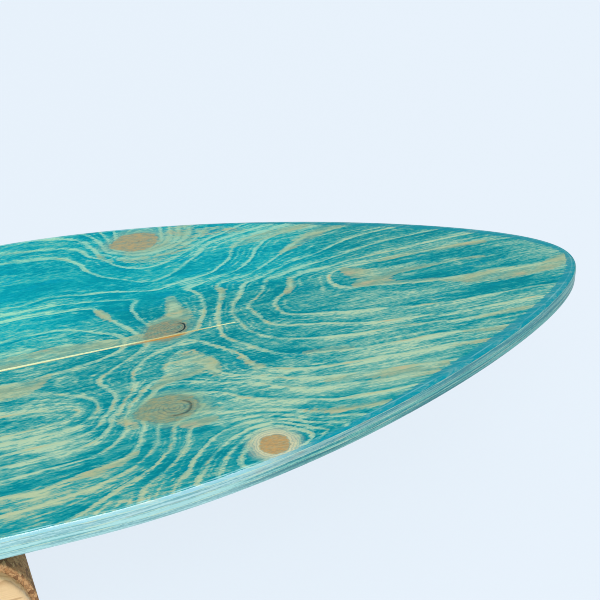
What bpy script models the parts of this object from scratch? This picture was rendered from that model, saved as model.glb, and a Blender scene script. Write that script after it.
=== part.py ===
"""Balance board with roller.

A surf-shaped plywood deck lies level on a round roller. The deck is five plies
pressed together, with a long rounded edge and a shallow groove along its middle.
Two wooden stops with rubber strips are screwed to its underside and keep the
roller between them. The roller is a stiff tube in a cork sleeve, and a turned
wooden cap closes each end of it.

Metres, +Z up. The nose points to +X. The origin is on the floor, under the middle
of the deck's length.
"""
import math

import bmesh
import bpy
from mathutils import Vector

# Deck outline
DECK_LENGTH = 0.900
DECK_WIDTH = 0.305
NOSE_LENGTH = 0.382
NOSE_RADIUS = 0.0263
TAIL_RADIUS = 0.064

# Plies and edge
FACE_VENEER = 0.0016
CROSS_PLY = 0.0039
CORE_PLY = 0.0035
EDGE_RADIUS = 0.0032

# Groove along the middle of the face
GROOVE_WIDTH = 0.0018
GROOVE_TIP_WIDTH = 0.0008
GROOVE_DEPTH = 0.0004
GROOVE_NOSE_MARGIN = 0.2465
GROOVE_TAIL_MARGIN = 0.070

# Roller
ROLLER_RADIUS = 0.050
ROLLER_LENGTH = 0.300
SLEEVE_THICKNESS = 0.006
SLEEVE_CHAMFER = 0.0012
TUBE_WALL = 0.005
CAP_FLANGE = 0.008
CAP_STEP = 0.004
CAP_SPIGOT = 0.020
CAP_ROUND = 0.003

# Stops under the deck
STOP_INSET = 0.180
STOP_WIDTH = 0.020
STOP_HEIGHT = 0.018
STOP_EDGE_MARGIN = 0.028
STOP_CORNER = 0.008
STOP_CHAMFER = 0.002
BUMPER_THICKNESS = 0.004
BUMPER_HEIGHT = 0.015
BUMPER_END_MARGIN = 0.010
BUMPER_ROUND = 0.0015

# Stop screws
SCREWS_PER_STOP = 4
SCREW_SHANK = 0.002
SCREW_HEAD = 0.004
SCREW_HEAD_DEPTH = 0.0026
SCREW_TIP = 0.004
SCREW_SINK = 0.0004
SCREW_END_MARGIN = 0.022
RECESS_WIDTH = 0.0010
RECESS_SPAN = 0.0044
RECESS_DEPTH = 0.0016

# Clearances
FIT_GAP = 0.0003
STOP_CLEARANCE = 0.0005

# Fineness of round shapes
OUTLINE_STEPS = 40
EDGE_STEPS = 4
ROLLER_STEPS = 48
SCREW_STEPS = 20
STOP_CORNER_STEPS = 5
BUMPER_ROUND_STEPS = 3

# Turn between faces past which an edge of a round piece stays sharp
SHARP_ANGLE = math.radians(30)

# Closeness at which points count as one, or as lying on a plane
SNAP = 0.000001
LEAST_RING_STEP = 0.0001

# Heights and places that follow from the sizes
DECK_UNDERSIDE = 2 * ROLLER_RADIUS + FIT_GAP
PLY_STACK = (
    ("back_veneer", FACE_VENEER),
    ("lower_cross_ply", CROSS_PLY),
    ("core_ply", CORE_PLY),
    ("upper_cross_ply", CROSS_PLY),
    ("face_veneer", FACE_VENEER),
)
DECK_THICKNESS = sum(thickness for _, thickness in PLY_STACK)
DECK_TOP = DECK_UNDERSIDE + DECK_THICKNESS
NOSE_X = DECK_LENGTH / 2
TAIL_X = -DECK_LENGTH / 2
WIDEST_X = NOSE_X - NOSE_LENGTH
HALF_WIDTH = DECK_WIDTH / 2
TUBE_RADIUS = ROLLER_RADIUS - SLEEVE_THICKNESS
TUBE_BORE = TUBE_RADIUS - FIT_GAP - TUBE_WALL
TUBE_LENGTH = ROLLER_LENGTH - 2 * (CAP_FLANGE + FIT_GAP)
CAP_RADIUS = ROLLER_RADIUS - CAP_STEP
SPIGOT_RADIUS = TUBE_BORE * math.cos(math.pi / ROLLER_STEPS) - FIT_GAP
SCREW_BITE = FACE_VENEER + CROSS_PLY + CORE_PLY / 2
SCREW_LENGTH = STOP_HEIGHT - SCREW_SINK + SCREW_BITE

# Colour, roughness and metallic value of each material
FINISHES = {
    "face_veneer": ((0.05, 0.40, 0.44, 1.0), 0.30, 0.0),
    "upper_cross_ply": ((0.33, 0.42, 0.43, 1.0), 0.40, 0.0),
    "core_ply": ((0.30, 0.55, 0.53, 1.0), 0.40, 0.0),
    "lower_cross_ply": ((0.33, 0.42, 0.43, 1.0), 0.40, 0.0),
    "back_veneer": ((0.05, 0.40, 0.44, 1.0), 0.35, 0.0),
    "stop": ((0.66, 0.50, 0.30, 1.0), 0.50, 0.0),
    "bumper": ((0.03, 0.03, 0.03, 1.0), 0.80, 0.0),
    "screw": ((0.62, 0.62, 0.60, 1.0), 0.35, 1.0),
    "tube": ((0.42, 0.42, 0.40, 1.0), 0.60, 0.0),
    "sleeve": ((0.50, 0.33, 0.18, 1.0), 0.85, 0.0),
    "cap": ((0.66, 0.50, 0.30, 1.0), 0.40, 0.0),
}


def clear_scene():
    """Remove whatever the file opened with."""
    for old in list(bpy.data.objects):
        bpy.data.objects.remove(old, do_unlink=True)


def new_collection(name):
    """Make a collection under the scene."""
    collection = bpy.data.collections.new(name)
    bpy.context.scene.collection.children.link(collection)
    return collection


def make_material(name, colour, roughness, metallic):
    """Make a plain Principled material."""
    material = bpy.data.materials.new(name)
    material.use_nodes = True
    shader = material.node_tree.nodes["Principled BSDF"]
    shader.inputs["Base Color"].default_value = colour
    shader.inputs["Roughness"].default_value = roughness
    shader.inputs["Metallic"].default_value = metallic
    material.diffuse_color = colour
    return material


def add_object(name, mesh, collection, parent=None, material=None):
    """Put a mesh into a collection as a named object."""
    obj = bpy.data.objects.new(name, mesh)
    collection.objects.link(obj)
    obj.parent = parent
    if material is not None and not mesh.materials:
        mesh.materials.append(material)
    return obj


def add_empty(name, location, collection):
    """Add an empty that marks an axis or an origin."""
    empty = bpy.data.objects.new(name, None)
    empty.location = location
    collection.objects.link(empty)
    return empty


def mesh_from(bm, name):
    """Turn a bmesh into a mesh whose faces point outwards."""
    bmesh.ops.recalc_face_normals(bm, faces=bm.faces)
    mesh = bpy.data.meshes.new(name)
    bm.to_mesh(mesh)
    bm.free()
    return mesh


def half_breadth_of_end(distance, length, radius):
    """Half breadth at a distance from a tip.

    Its square is a cubic in the distance: the tip is round with the given radius,
    and the outline runs level where it reaches the full width.
    """
    x = min(max(distance / length, 0.0), 1.0)
    a = 2 * radius * length / HALF_WIDTH ** 2
    square = a * x + (3 - 2 * a) * x ** 2 + (a - 2) * x ** 3
    return HALF_WIDTH * math.sqrt(max(square, 0.0))


def half_breadth(x):
    """Half breadth of the deck at a place along it."""
    if x > WIDEST_X:
        return half_breadth_of_end(NOSE_X - x, NOSE_LENGTH, NOSE_RADIUS)
    return half_breadth_of_end(x - TAIL_X, DECK_LENGTH - NOSE_LENGTH, TAIL_RADIUS)


def outline_stations():
    """Places along the deck from nose to tail, close together at both tips."""
    quarter = [math.pi / 2 * k / OUTLINE_STEPS for k in range(OUTLINE_STEPS + 1)]
    nose = [NOSE_X - NOSE_LENGTH * (1 - math.cos(angle)) for angle in quarter]
    tail_length = DECK_LENGTH - NOSE_LENGTH
    tail = [TAIL_X + tail_length * (1 - math.cos(angle)) for angle in reversed(quarter)]
    return nose + tail[1:]


def outline():
    """Points of the outline, counter-clockwise from the nose tip."""
    stations = outline_stations()
    port = [Vector((x, half_breadth(x))) for x in stations]
    port[0].y = 0.0
    port[-1].y = 0.0
    starboard = [Vector((point.x, -point.y)) for point in reversed(port[1:-1])]
    return port + starboard


def outward_normals(points):
    """Outward normal of the outline at each of its points."""
    normals = []
    for k, point in enumerate(points):
        along = points[(k + 1) % len(points)] - points[k - 1]
        normals.append(Vector((along.y, -along.x)).normalized())
    return normals


def edge_inset(z):
    """How far the rounded edge lies inside the outline at a height."""
    depth = min(DECK_TOP - z, z - DECK_UNDERSIDE)
    if depth >= EDGE_RADIUS:
        return 0.0
    rise = EDGE_RADIUS - max(depth, 0.0)
    return EDGE_RADIUS - math.sqrt(EDGE_RADIUS ** 2 - rise ** 2)


def edge_heights():
    """Heights at which the rounded edge has a ring of points."""
    heights = []
    for k in range(1, EDGE_STEPS + 1):
        depth = EDGE_RADIUS * (1 - math.cos(math.pi / 2 * k / EDGE_STEPS))
        heights.append(DECK_UNDERSIDE + depth)
        heights.append(DECK_TOP - depth)
    return heights


def ply_mesh(name, bottom, top):
    """One ply: the outline lifted from ring to ring, with its part of the rounded edge."""
    points = outline()
    normals = outward_normals(points)
    low, high = bottom + LEAST_RING_STEP, top - LEAST_RING_STEP
    inner = sorted(z for z in edge_heights() if low < z < high)
    bm = bmesh.new()
    station = bm.verts.layers.int.new("station")
    ring = []
    for k, point in enumerate(points):
        vert = bm.verts.new((point.x, point.y, bottom))
        vert[station] = k
        ring.append(vert)
    place_ring(ring, station, points, normals, bottom)
    bm.faces.new(ring)
    rim = [bm.edges.get((a, b)) for a, b in zip(ring, ring[1:] + ring[:1])]
    for z in inner + [top]:
        lifted = bmesh.ops.extrude_edge_only(bm, edges=rim)["geom"]
        rim = [item for item in lifted if isinstance(item, bmesh.types.BMEdge)]
        ring = [item for item in lifted if isinstance(item, bmesh.types.BMVert)]
        place_ring(ring, station, points, normals, z)
    bm.faces.new(sorted(ring, key=lambda vert: vert[station]))
    return mesh_from(bm, name)


def place_ring(verts, station, points, normals, z):
    """Put a ring of points on the deck's edge at a height."""
    inset = edge_inset(z)
    for vert in verts:
        k = vert[station]
        place = points[k] - normals[k] * inset
        vert.co = (place.x, place.y, z)


def box_mesh(name, low, high):
    """A box between two corners."""
    bm = bmesh.new()
    bmesh.ops.create_cube(bm, size=2.0)
    for vert in bm.verts:
        vert.co = [high[i] if vert.co[i] > 0 else low[i] for i in range(3)]
    return mesh_from(bm, name)


def bevel(bm, edges, width, steps):
    """Round or chamfer edges of a bmesh."""
    bmesh.ops.bevel(
        bm, geom=edges, offset=width, segments=steps, profile=0.5, affect="EDGES", material=-1
    )


def turned_object(name, profile, steps, collection, closed):
    """A turned shape about Z from a profile that runs down its outer side."""
    mesh = bpy.data.meshes.new(name)
    edges = [(k, k + 1) for k in range(len(profile) - 1)]
    if closed:
        edges.append((len(profile) - 1, 0))
    mesh.from_pydata([(r, 0.0, z) for r, z in profile], edges, [])
    obj = add_object(name, mesh, collection)
    screw = obj.modifiers.new("turn", "SCREW")
    screw.axis = "Z"
    screw.angle = 2 * math.pi
    screw.steps = steps
    screw.render_steps = steps
    screw.use_merge_vertices = True
    screw.merge_threshold = SNAP
    return obj


def cut(obj, cutter):
    """Cut one object with another."""
    boolean = obj.modifiers.new("cut", "BOOLEAN")
    boolean.operation = "DIFFERENCE"
    boolean.solver = "EXACT"
    boolean.object = cutter


def hide_cutter(obj):
    """Keep a cutter out of the model."""
    obj.hide_render = True
    obj.display_type = "WIRE"


def bake(obj, heights=()):
    """Replace an object's mesh by its evaluated one, with flat faces exactly at their heights."""
    graph = bpy.context.evaluated_depsgraph_get()
    mesh = bpy.data.meshes.new_from_object(obj.evaluated_get(graph))
    for vert in mesh.vertices:
        for z in heights:
            if abs(vert.co.z - z) < SNAP:
                vert.co.z = z
    mesh.name = obj.name
    obj.modifiers.clear()
    obj.data = mesh


def smooth(obj):
    """Shade a round piece smooth, with its corners sharp."""
    obj.data.shade_smooth()
    obj.data.set_sharp_from_angle(angle=SHARP_ANGLE)


def balance_x():
    """Where the deck balances: the centroid of its outline."""
    area = 0.0
    moment = 0.0
    stations = outline_stations()
    for a, b in zip(stations, stations[1:]):
        strip = (a - b) * (half_breadth(a) + half_breadth(b))
        area += strip
        moment += strip * (a + b) / 2
    return moment / area


def stop_x(side):
    """Middle of the stop at the nose (side 1) or at the tail (side -1)."""
    return side * (NOSE_X - STOP_INSET)


def stop_half_length():
    """Half length of a stop: it stays inside the narrower end of the deck."""
    narrow = min(half_breadth(stop_x(side) + side * STOP_WIDTH / 2) for side in (1, -1))
    return narrow - STOP_EDGE_MARGIN


def screw_rows():
    """Places of the screws across a stop."""
    reach = stop_half_length() - SCREW_END_MARGIN
    step = 2 * reach / (SCREWS_PER_STOP - 1)
    return [-reach + step * k for k in range(SCREWS_PER_STOP)]


def screw_profile(grow=0.0, tip=True):
    """Profile of a countersunk screw with its head down, from its tip to its head."""
    shank = SCREW_SHANK + grow
    head = SCREW_HEAD + grow
    end = SCREW_LENGTH + grow
    taper = end - SCREW_TIP if tip else end
    points = [(0.0, end)]
    if not tip:
        points.append((shank, end))
    points += [(shank, taper), (shank, SCREW_HEAD_DEPTH), (head, 0.0)]
    if grow:
        points.append((head, -STOP_CHAMFER))
        points.append((0.0, -STOP_CHAMFER))
    else:
        points.append((0.0, 0.0))
    return points


def build_screw_mesh(cutters):
    """One countersunk screw with a cross recess, which every stop screw shares."""
    screw = turned_object("screw_pattern", screw_profile(), SCREW_STEPS, cutters, closed=False)
    for k, (wide, deep) in enumerate(((RECESS_SPAN, RECESS_WIDTH), (RECESS_WIDTH, RECESS_SPAN))):
        low = (-wide / 2, -deep / 2, -RECESS_DEPTH)
        high = (wide / 2, deep / 2, RECESS_DEPTH)
        slot = add_object(f"recess_cutter_{k + 1}", box_mesh("recess", low, high), cutters)
        hide_cutter(slot)
        cut(screw, slot)
    bake(screw)
    smooth(screw)
    mesh = screw.data
    bpy.data.objects.remove(screw, do_unlink=True)
    return mesh


def build_plies(parts, parent, materials, hole_cutters, groove_cutter):
    """The five plies of the deck, from the back to the face."""
    bottom = DECK_UNDERSIDE
    for name, thickness in PLY_STACK:
        top = bottom + thickness
        ply = add_object(name, ply_mesh(name, bottom, top), parts, parent, materials[name])
        if name in ("back_veneer", "lower_cross_ply", "core_ply"):
            for cutter in hole_cutters:
                cut(ply, cutter)
        if name == "face_veneer":
            cut(ply, groove_cutter)
        bake(ply, heights=(bottom, top))
        smooth(ply)
        bottom = top


def build_groove_cutter(cutters):
    """A long tapered bar that cuts the groove into the face."""
    low = (TAIL_X + GROOVE_TAIL_MARGIN, -GROOVE_WIDTH / 2, DECK_TOP - GROOVE_DEPTH)
    high = (NOSE_X - GROOVE_NOSE_MARGIN, GROOVE_WIDTH / 2, DECK_TOP + GROOVE_DEPTH)
    bar = add_object("groove_cutter", box_mesh("groove", low, high), cutters)
    for vert in bar.data.vertices:
        if vert.co.x > 0:
            vert.co.y *= GROOVE_TIP_WIDTH / GROOVE_WIDTH
    hide_cutter(bar)
    return bar


def build_hole_cutters(cutters):
    """One countersunk drill for each stop screw."""
    drills = []
    head_z = DECK_UNDERSIDE - STOP_HEIGHT + SCREW_SINK
    profile = screw_profile(grow=FIT_GAP, tip=False)
    for side in (1, -1):
        for row, y in enumerate(screw_rows()):
            name = f"drill_{'nose' if side > 0 else 'tail'}_{row + 1}"
            drill = turned_object(name, profile, SCREW_STEPS, cutters, closed=False)
            drill.location = (stop_x(side), y, head_z)
            hide_cutter(drill)
            drills.append(drill)
    return drills


def build_stop(parts, parent, materials, side, drills):
    """A wooden stop across the underside, its rubber strip and its screws."""
    end = "nose" if side > 0 else "tail"
    half = stop_half_length()
    middle = stop_x(side)
    low = (middle - STOP_WIDTH / 2, -half, DECK_UNDERSIDE - STOP_HEIGHT)
    high = (middle + STOP_WIDTH / 2, half, DECK_UNDERSIDE)
    bm = bmesh.new()
    bm.from_mesh(box_mesh("stop", low, high))
    upright = [edge for edge in bm.edges if abs(edge.verts[0].co.z - edge.verts[1].co.z) > SNAP]
    bevel(bm, upright, STOP_CORNER, STOP_CORNER_STEPS)
    foot = [edge for edge in bm.edges if all(vert.co.z < low[2] + SNAP for vert in edge.verts)]
    bevel(bm, foot, STOP_CHAMFER, 1)
    block = add_object(f"stop_{end}", mesh_from(bm, "stop"), parts, parent, materials["stop"])
    for drill in drills:
        cut(block, drill)
    bake(block, heights=(DECK_UNDERSIDE,))
    build_bumper(parts, parent, materials["bumper"], side, half)


def build_bumper(parts, parent, material, side, half):
    """The rubber strip on the inner face of a stop."""
    end = "nose" if side > 0 else "tail"
    seat = stop_x(side) - side * STOP_WIDTH / 2
    front = seat - side * BUMPER_THICKNESS
    reach = half - BUMPER_END_MARGIN
    low = (min(seat, front), -reach, DECK_UNDERSIDE - BUMPER_HEIGHT)
    high = (max(seat, front), reach, DECK_UNDERSIDE)
    bm = bmesh.new()
    bm.from_mesh(box_mesh("bumper", low, high))
    rim = [
        edge
        for edge in bm.edges
        if all(abs(vert.co.x - front) < SNAP for vert in edge.verts)
        and not all(vert.co.z > high[2] - SNAP for vert in edge.verts)
    ]
    bevel(bm, rim, BUMPER_ROUND, BUMPER_ROUND_STEPS)
    strip = add_object(f"bumper_{end}", mesh_from(bm, "bumper"), parts, parent, material)
    for vert in strip.data.vertices:
        if abs(vert.co.x - seat) < SNAP:
            vert.co.x = seat
        if abs(vert.co.z - high[2]) < SNAP:
            vert.co.z = high[2]


def build_screws(parts, parent, material, mesh):
    """The stop screws, driven up from below."""
    head_z = DECK_UNDERSIDE - STOP_HEIGHT + SCREW_SINK
    mesh.materials.clear()
    mesh.materials.append(material)
    for side in (1, -1):
        end = "nose" if side > 0 else "tail"
        for row, y in enumerate(screw_rows()):
            screw = add_object(f"stop_screw_{end}_{row + 1}", mesh, parts, parent)
            screw.location = (stop_x(side), y, head_z)


def lay_across(obj):
    """Turn a piece that was made about Z so that its axis lies along Y."""
    obj.rotation_euler = (math.pi / 2, 0.0, 0.0)


def build_roller(parts, axis, materials):
    """The roller's tube, its sleeve and its two end caps, about the roller's axis."""
    half = TUBE_LENGTH / 2
    outer = TUBE_RADIUS - FIT_GAP
    tube_profile = [(outer, half), (outer, -half), (TUBE_BORE, -half), (TUBE_BORE, half)]
    tube = turned_object("roller_tube", tube_profile, ROLLER_STEPS, parts, closed=True)
    chamfer = SLEEVE_CHAMFER
    sleeve_profile = [
        (ROLLER_RADIUS - chamfer, half),
        (ROLLER_RADIUS, half - chamfer),
        (ROLLER_RADIUS, -half + chamfer),
        (ROLLER_RADIUS - chamfer, -half),
        (TUBE_RADIUS, -half),
        (TUBE_RADIUS, half),
    ]
    sleeve = turned_object("roller_sleeve", sleeve_profile, ROLLER_STEPS, parts, closed=True)
    for piece, key in ((tube, "tube"), (sleeve, "sleeve")):
        piece.parent = axis
        lay_across(piece)
        piece.data.materials.append(materials[key])
        bake(piece)
        smooth(piece)
    for side, name in ((1, "end_cap_left"), (-1, "end_cap_right")):
        cap = turned_object(name, cap_profile(), ROLLER_STEPS, parts, closed=False)
        cap.parent = axis
        cap.location = (0.0, side * ROLLER_LENGTH / 2, 0.0)
        cap.rotation_euler = (-side * math.pi / 2, 0.0, 0.0)
        cap.data.materials.append(materials["cap"])
        bake(cap)
        smooth(cap)


def cap_profile():
    """Profile of an end cap with its outer face up, rounded at its rim."""
    points = [(0.0, 0.0)]
    for k in range(EDGE_STEPS + 1):
        angle = math.pi / 2 * k / EDGE_STEPS
        r = CAP_RADIUS - CAP_ROUND * (1 - math.sin(angle))
        points.append((r, -CAP_ROUND * (1 - math.cos(angle))))
    points.append((CAP_RADIUS, -CAP_FLANGE))
    points.append((SPIGOT_RADIUS, -CAP_FLANGE))
    points.append((SPIGOT_RADIUS, -CAP_FLANGE - CAP_SPIGOT))
    points.append((0.0, -CAP_FLANGE - CAP_SPIGOT))
    return points


def roller_travel():
    """How far the roller's axis runs to the tail and to the nose before it meets a strip."""
    touch = math.sqrt(ROLLER_RADIUS ** 2 - (ROLLER_RADIUS - BUMPER_HEIGHT) ** 2)
    face = NOSE_X - STOP_INSET - STOP_WIDTH / 2 - BUMPER_THICKNESS
    reach = face - touch - STOP_CLEARANCE
    start = balance_x()
    return -reach - start, reach - start


def main():
    """Build the whole board."""
    clear_scene()
    parts = new_collection("balance_board")
    cutters = new_collection("cutters")
    materials = {name: make_material(name, *finish) for name, finish in FINISHES.items()}
    deck = add_empty("deck_origin", (0.0, 0.0, 0.0), parts)
    axis = add_empty("roller_axis", (balance_x(), 0.0, ROLLER_RADIUS), parts)
    drills = build_hole_cutters(cutters)
    groove = build_groove_cutter(cutters)
    screw_mesh = build_screw_mesh(cutters)
    build_plies(parts, deck, materials, drills, groove)
    for side in (1, -1):
        build_stop(parts, deck, materials, side, drills)
    build_screws(parts, deck, materials["screw"], screw_mesh)
    build_roller(parts, axis, materials)
    back, front = roller_travel()
    print(f"roller axis at x {balance_x():.5f}, z {ROLLER_RADIUS:.5f}")
    print(f"roller travel {back:.5f} to {front:.5f}, turning {-1 / ROLLER_RADIUS:.4f} rad per metre")


main()
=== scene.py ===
"""Looks of the balance board with its roller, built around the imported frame.

The deck is five stained plies. Its face veneer carries a figure of growth rings that
flow round knots, a routed line and a satin coat. Two stops with rubber strips are
screwed under the deck, and a cork-covered roller runs between them.

Metres, +Z up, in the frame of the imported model. The nose points to +X.
"""
from __future__ import annotations

import logging
import math
from dataclasses import dataclass
from enum import Enum
from typing import Iterable, Sequence, Union

import bmesh
import bpy
import numpy as np
from mathutils import Matrix, Vector, noise

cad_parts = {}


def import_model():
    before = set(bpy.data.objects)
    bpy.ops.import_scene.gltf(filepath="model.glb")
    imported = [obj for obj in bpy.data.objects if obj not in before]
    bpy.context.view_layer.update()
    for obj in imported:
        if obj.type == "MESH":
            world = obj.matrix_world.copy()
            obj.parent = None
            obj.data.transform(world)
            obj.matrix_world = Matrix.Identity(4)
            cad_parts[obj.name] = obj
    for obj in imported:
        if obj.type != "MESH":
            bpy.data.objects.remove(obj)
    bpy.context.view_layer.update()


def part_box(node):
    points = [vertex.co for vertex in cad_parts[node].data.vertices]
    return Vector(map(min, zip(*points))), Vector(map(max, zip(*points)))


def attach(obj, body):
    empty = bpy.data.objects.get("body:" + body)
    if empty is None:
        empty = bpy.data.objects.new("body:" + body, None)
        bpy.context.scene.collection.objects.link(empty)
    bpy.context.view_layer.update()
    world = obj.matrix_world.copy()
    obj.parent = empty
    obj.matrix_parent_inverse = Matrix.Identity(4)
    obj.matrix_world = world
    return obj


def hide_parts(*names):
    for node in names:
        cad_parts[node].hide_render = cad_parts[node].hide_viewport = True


LOG = logging.getLogger("balance_board")
MM = 0.001
MERGE = 0.000001

Colour = tuple[float, float, float, float]
Place = tuple[float, float, float]
Pair = tuple[float, float]
Array = np.ndarray
Shape = bmesh.types.BMesh
Material = bpy.types.Material
Socket = bpy.types.NodeSocket
Value = Union[float, Sequence[float], "Wire", None]

ORIGIN = (0.0, 0.0, 0.0)


class Body(Enum):
    """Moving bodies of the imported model."""

    DECK = "deck"
    CARRIER = "roller_carrier"
    ROLLER = "roller"


class Slot(Enum):
    """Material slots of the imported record."""

    FACE = "stained_face"
    CROSS = "stained_cross_ply"
    CORE = "stained_core_ply"
    BACK = "stained_back"
    STOP = "stop_wood"
    BUMPER = "bumper_rubber"
    SCREW = "screw_steel"
    TUBE = "tube_plastic"
    CORK = "cork"
    CAP = "cap_wood"


class PlySide(Enum):
    """Which side of a ply is seen whole."""

    FACE = "top"
    BACK = "bottom"
    INNER = "none"


def tint(red: float, green: float, blue: float) -> Colour:
    """Turn a colour as it is seen on a screen, 0 to 255, into a linear one.

    Args:
        red: Red share, 0 to 255.
        green: Green share, 0 to 255.
        blue: Blue share, 0 to 255.

    Returns:
        The linear colour with full alpha.
    """
    linear = []
    for share in (red, green, blue):
        level = share / 255
        low = level <= 0.04045
        linear.append(level / 12.92 if low else ((level + 0.055) / 1.055) ** 2.4)
    return (linear[0], linear[1], linear[2], 1.0)


class Wire:
    """An output of a shader node, with what other nodes can do to it."""

    MIX_INPUTS = (0, 6, 7)
    MIX_OUTPUT = 2

    def __init__(self, graph: Graph, socket: Socket) -> None:
        """Keep the output and the graph that it belongs to."""
        self.graph = graph
        self.socket = socket

    def __add__(self, other: Value) -> Wire:
        """The sum of both."""
        return self.math("ADD", other)

    def __mul__(self, other: Value) -> Wire:
        """The product of both."""
        return self.math("MULTIPLY", other)

    def __sub__(self, other: Value) -> Wire:
        """This less the other."""
        return self.math("SUBTRACT", other)

    def __rsub__(self, other: Value) -> Wire:
        """The other less this."""
        return self.graph.math("SUBTRACT", other, self)

    def __truediv__(self, other: Value) -> Wire:
        """This over the other."""
        return self.math("DIVIDE", other)

    def __rtruediv__(self, other: Value) -> Wire:
        """The other over this."""
        return self.graph.math("DIVIDE", other, self)

    def __pow__(self, other: Value) -> Wire:
        """This to the power of the other."""
        return self.math("POWER", other)

    def __abs__(self) -> Wire:
        """This without its sign."""
        return self.math("ABSOLUTE")

    def math(self, operation: str, *others: Value) -> Wire:
        """Take this and other values through one Math node."""
        return self.graph.math(operation, self, *others)

    def clamped(self) -> Wire:
        """Keep the Math node that this comes from between 0 and 1."""
        self.socket.node.use_clamp = True
        return self

    def length(self) -> Wire:
        """Length of this vector."""
        made = self.graph.node("ShaderNodeVectorMath", operation="LENGTH")
        self.graph.plug(made.inputs[0], self)
        return Wire(self.graph, made.outputs["Value"])

    def split(self) -> tuple[Wire, Wire, Wire]:
        """The three parts of this vector."""
        made = self.graph.node("ShaderNodeSeparateXYZ")
        self.graph.plug(made.inputs[0], self)
        x, y, z = (Wire(self.graph, socket) for socket in made.outputs)
        return x, y, z

    def scaled(self, sizes: Sequence[float]) -> Wire:
        """Divide this place in metres by a length in millimetres along each axis."""
        return self * tuple(1 / (size * MM) if size else 0.0 for size in sizes)

    def fade(self, start: Value, end: Value, low: Value = 0.0, high: Value = 1.0) -> Wire:
        """Run smoothly from low to high while this goes from start to end."""
        made = self.graph.node("ShaderNodeMapRange", interpolation_type="SMOOTHSTEP")
        for socket, part in zip(made.inputs, (self, start, end, low, high)):
            self.graph.plug(socket, part)
        return Wire(self.graph, made.outputs[0])

    def fade_mm(self, start: float, end: float, low: Value = 0.0, high: Value = 1.0) -> Wire:
        """Fade between two places that are given in millimetres."""
        return self.fade(start * MM, end * MM, low, high)

    def mix(self, first: Value, second: Value, blend: str = "MIX") -> Wire:
        """Mix two colours, with this as the share of the second."""
        made = self.graph.node("ShaderNodeMix", data_type="RGBA", blend_type=blend)
        for number, part in zip(self.MIX_INPUTS, (self, first, second)):
            self.graph.plug(made.inputs[number], part)
        return Wire(self.graph, made.outputs[self.MIX_OUTPUT])

    def noise(
        self,
        sizes: Sequence[float] | None = None,
        detail: float = 2.0,
        roughness: float = 0.5,
        distortion: float = 0.0,
    ) -> Wire:
        """Noise at this place.

        Args:
            sizes: Millimetres of a lump along each axis; without them a lump is one unit.
            detail: Finer layers.
            roughness: How strong the finer layers are.
            distortion: How far the lumps are bent.

        Returns:
            The noise, about 0.5.
        """
        made = self.graph.node("ShaderNodeTexNoise", noise_dimensions="3D")
        settings = {
            "Vector": self.scaled(sizes) if sizes else self,
            "Scale": 1.0,
            "Detail": detail,
            "Roughness": roughness,
            "Distortion": distortion,
        }
        for name, value in settings.items():
            self.graph.plug(made.inputs[name], value)
        return Wire(self.graph, made.outputs[0])

    def cells(self, feature: str, output: str) -> Wire:
        """One output of a Voronoi pattern with a cell per unit."""
        made = self.graph.node("ShaderNodeTexVoronoi", feature=feature)
        self.graph.plug(made.inputs["Vector"], self)
        self.graph.plug(made.inputs["Scale"], 1.0)
        return Wire(self.graph, made.outputs[output])

    def bump(self, distance: float, strength: float) -> Wire:
        """Turn this height into a normal; the distance is in millimetres."""
        made = self.graph.node("ShaderNodeBump")
        for name, value in (("Strength", strength), ("Distance", distance * MM), ("Height", self)):
            self.graph.plug(made.inputs[name], value)
        return Wire(self.graph, made.outputs["Normal"])


class Graph:
    """Adds and links the nodes of one shader tree."""

    STEP = 190.0
    ROW = 14

    def __init__(self, tree: bpy.types.NodeTree) -> None:
        """Start on an empty or fresh tree."""
        self.tree = tree
        self.count = 0

    def node(self, kind: str, **settings: object) -> bpy.types.Node:
        """Add a node.

        Args:
            kind: Blender's name of the node type.
            **settings: Properties to set on it.

        Returns:
            The new node.
        """
        made = self.tree.nodes.new(kind)
        made.location = (self.count % self.ROW * self.STEP, -(self.count // self.ROW) * self.STEP)
        self.count += 1
        for name, value in settings.items():
            setattr(made, name, value)
        return made

    def plug(self, socket: Socket, value: Value | Socket) -> None:
        """Link a socket to another, or set its value."""
        source = value.socket if isinstance(value, Wire) else value
        if isinstance(source, Socket):
            self.tree.links.new(source, socket)
        elif source is not None:
            socket.default_value = source

    def math(self, operation: str, *values: Value) -> Wire:
        """Add a Math node, or a Vector Math node where one of the values is a vector."""
        flat = all(
            value.socket.type != "VECTOR" if isinstance(value, Wire) else not isinstance(value, tuple)
            for value in values
        )
        made = self.node("ShaderNodeMath" if flat else "ShaderNodeVectorMath", operation=operation)
        for socket, value in zip(made.inputs, values):
            self.plug(socket, value)
        return Wire(self, made.outputs[0])

    def join(self, x: Value, y: Value, z: Value) -> Wire:
        """Make a vector of three parts."""
        made = self.node("ShaderNodeCombineXYZ")
        for socket, value in zip(made.inputs, (x, y, z)):
            self.plug(socket, value)
        return Wire(self, made.outputs[0])

    def ramp(self, value: Value, stops: Sequence[tuple[float, Colour]]) -> Wire:
        """Turn a number into a colour between the nearest two stops."""
        made = self.node("ShaderNodeValToRGB")
        self.plug(made.inputs[0], value)
        elements = made.color_ramp.elements
        elements[0].position, elements[0].color = stops[0]
        elements[1].position, elements[1].color = stops[-1]
        for position, colour in stops[1:-1]:
            elements.new(position).color = colour
        return Wire(self, made.outputs[0])

    def attribute(self, name: str) -> Wire:
        """Read a number that the piece's mesh carries."""
        made = self.node("ShaderNodeAttribute", attribute_name=name, attribute_type="GEOMETRY")
        return Wire(self, made.outputs["Fac"])


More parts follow.
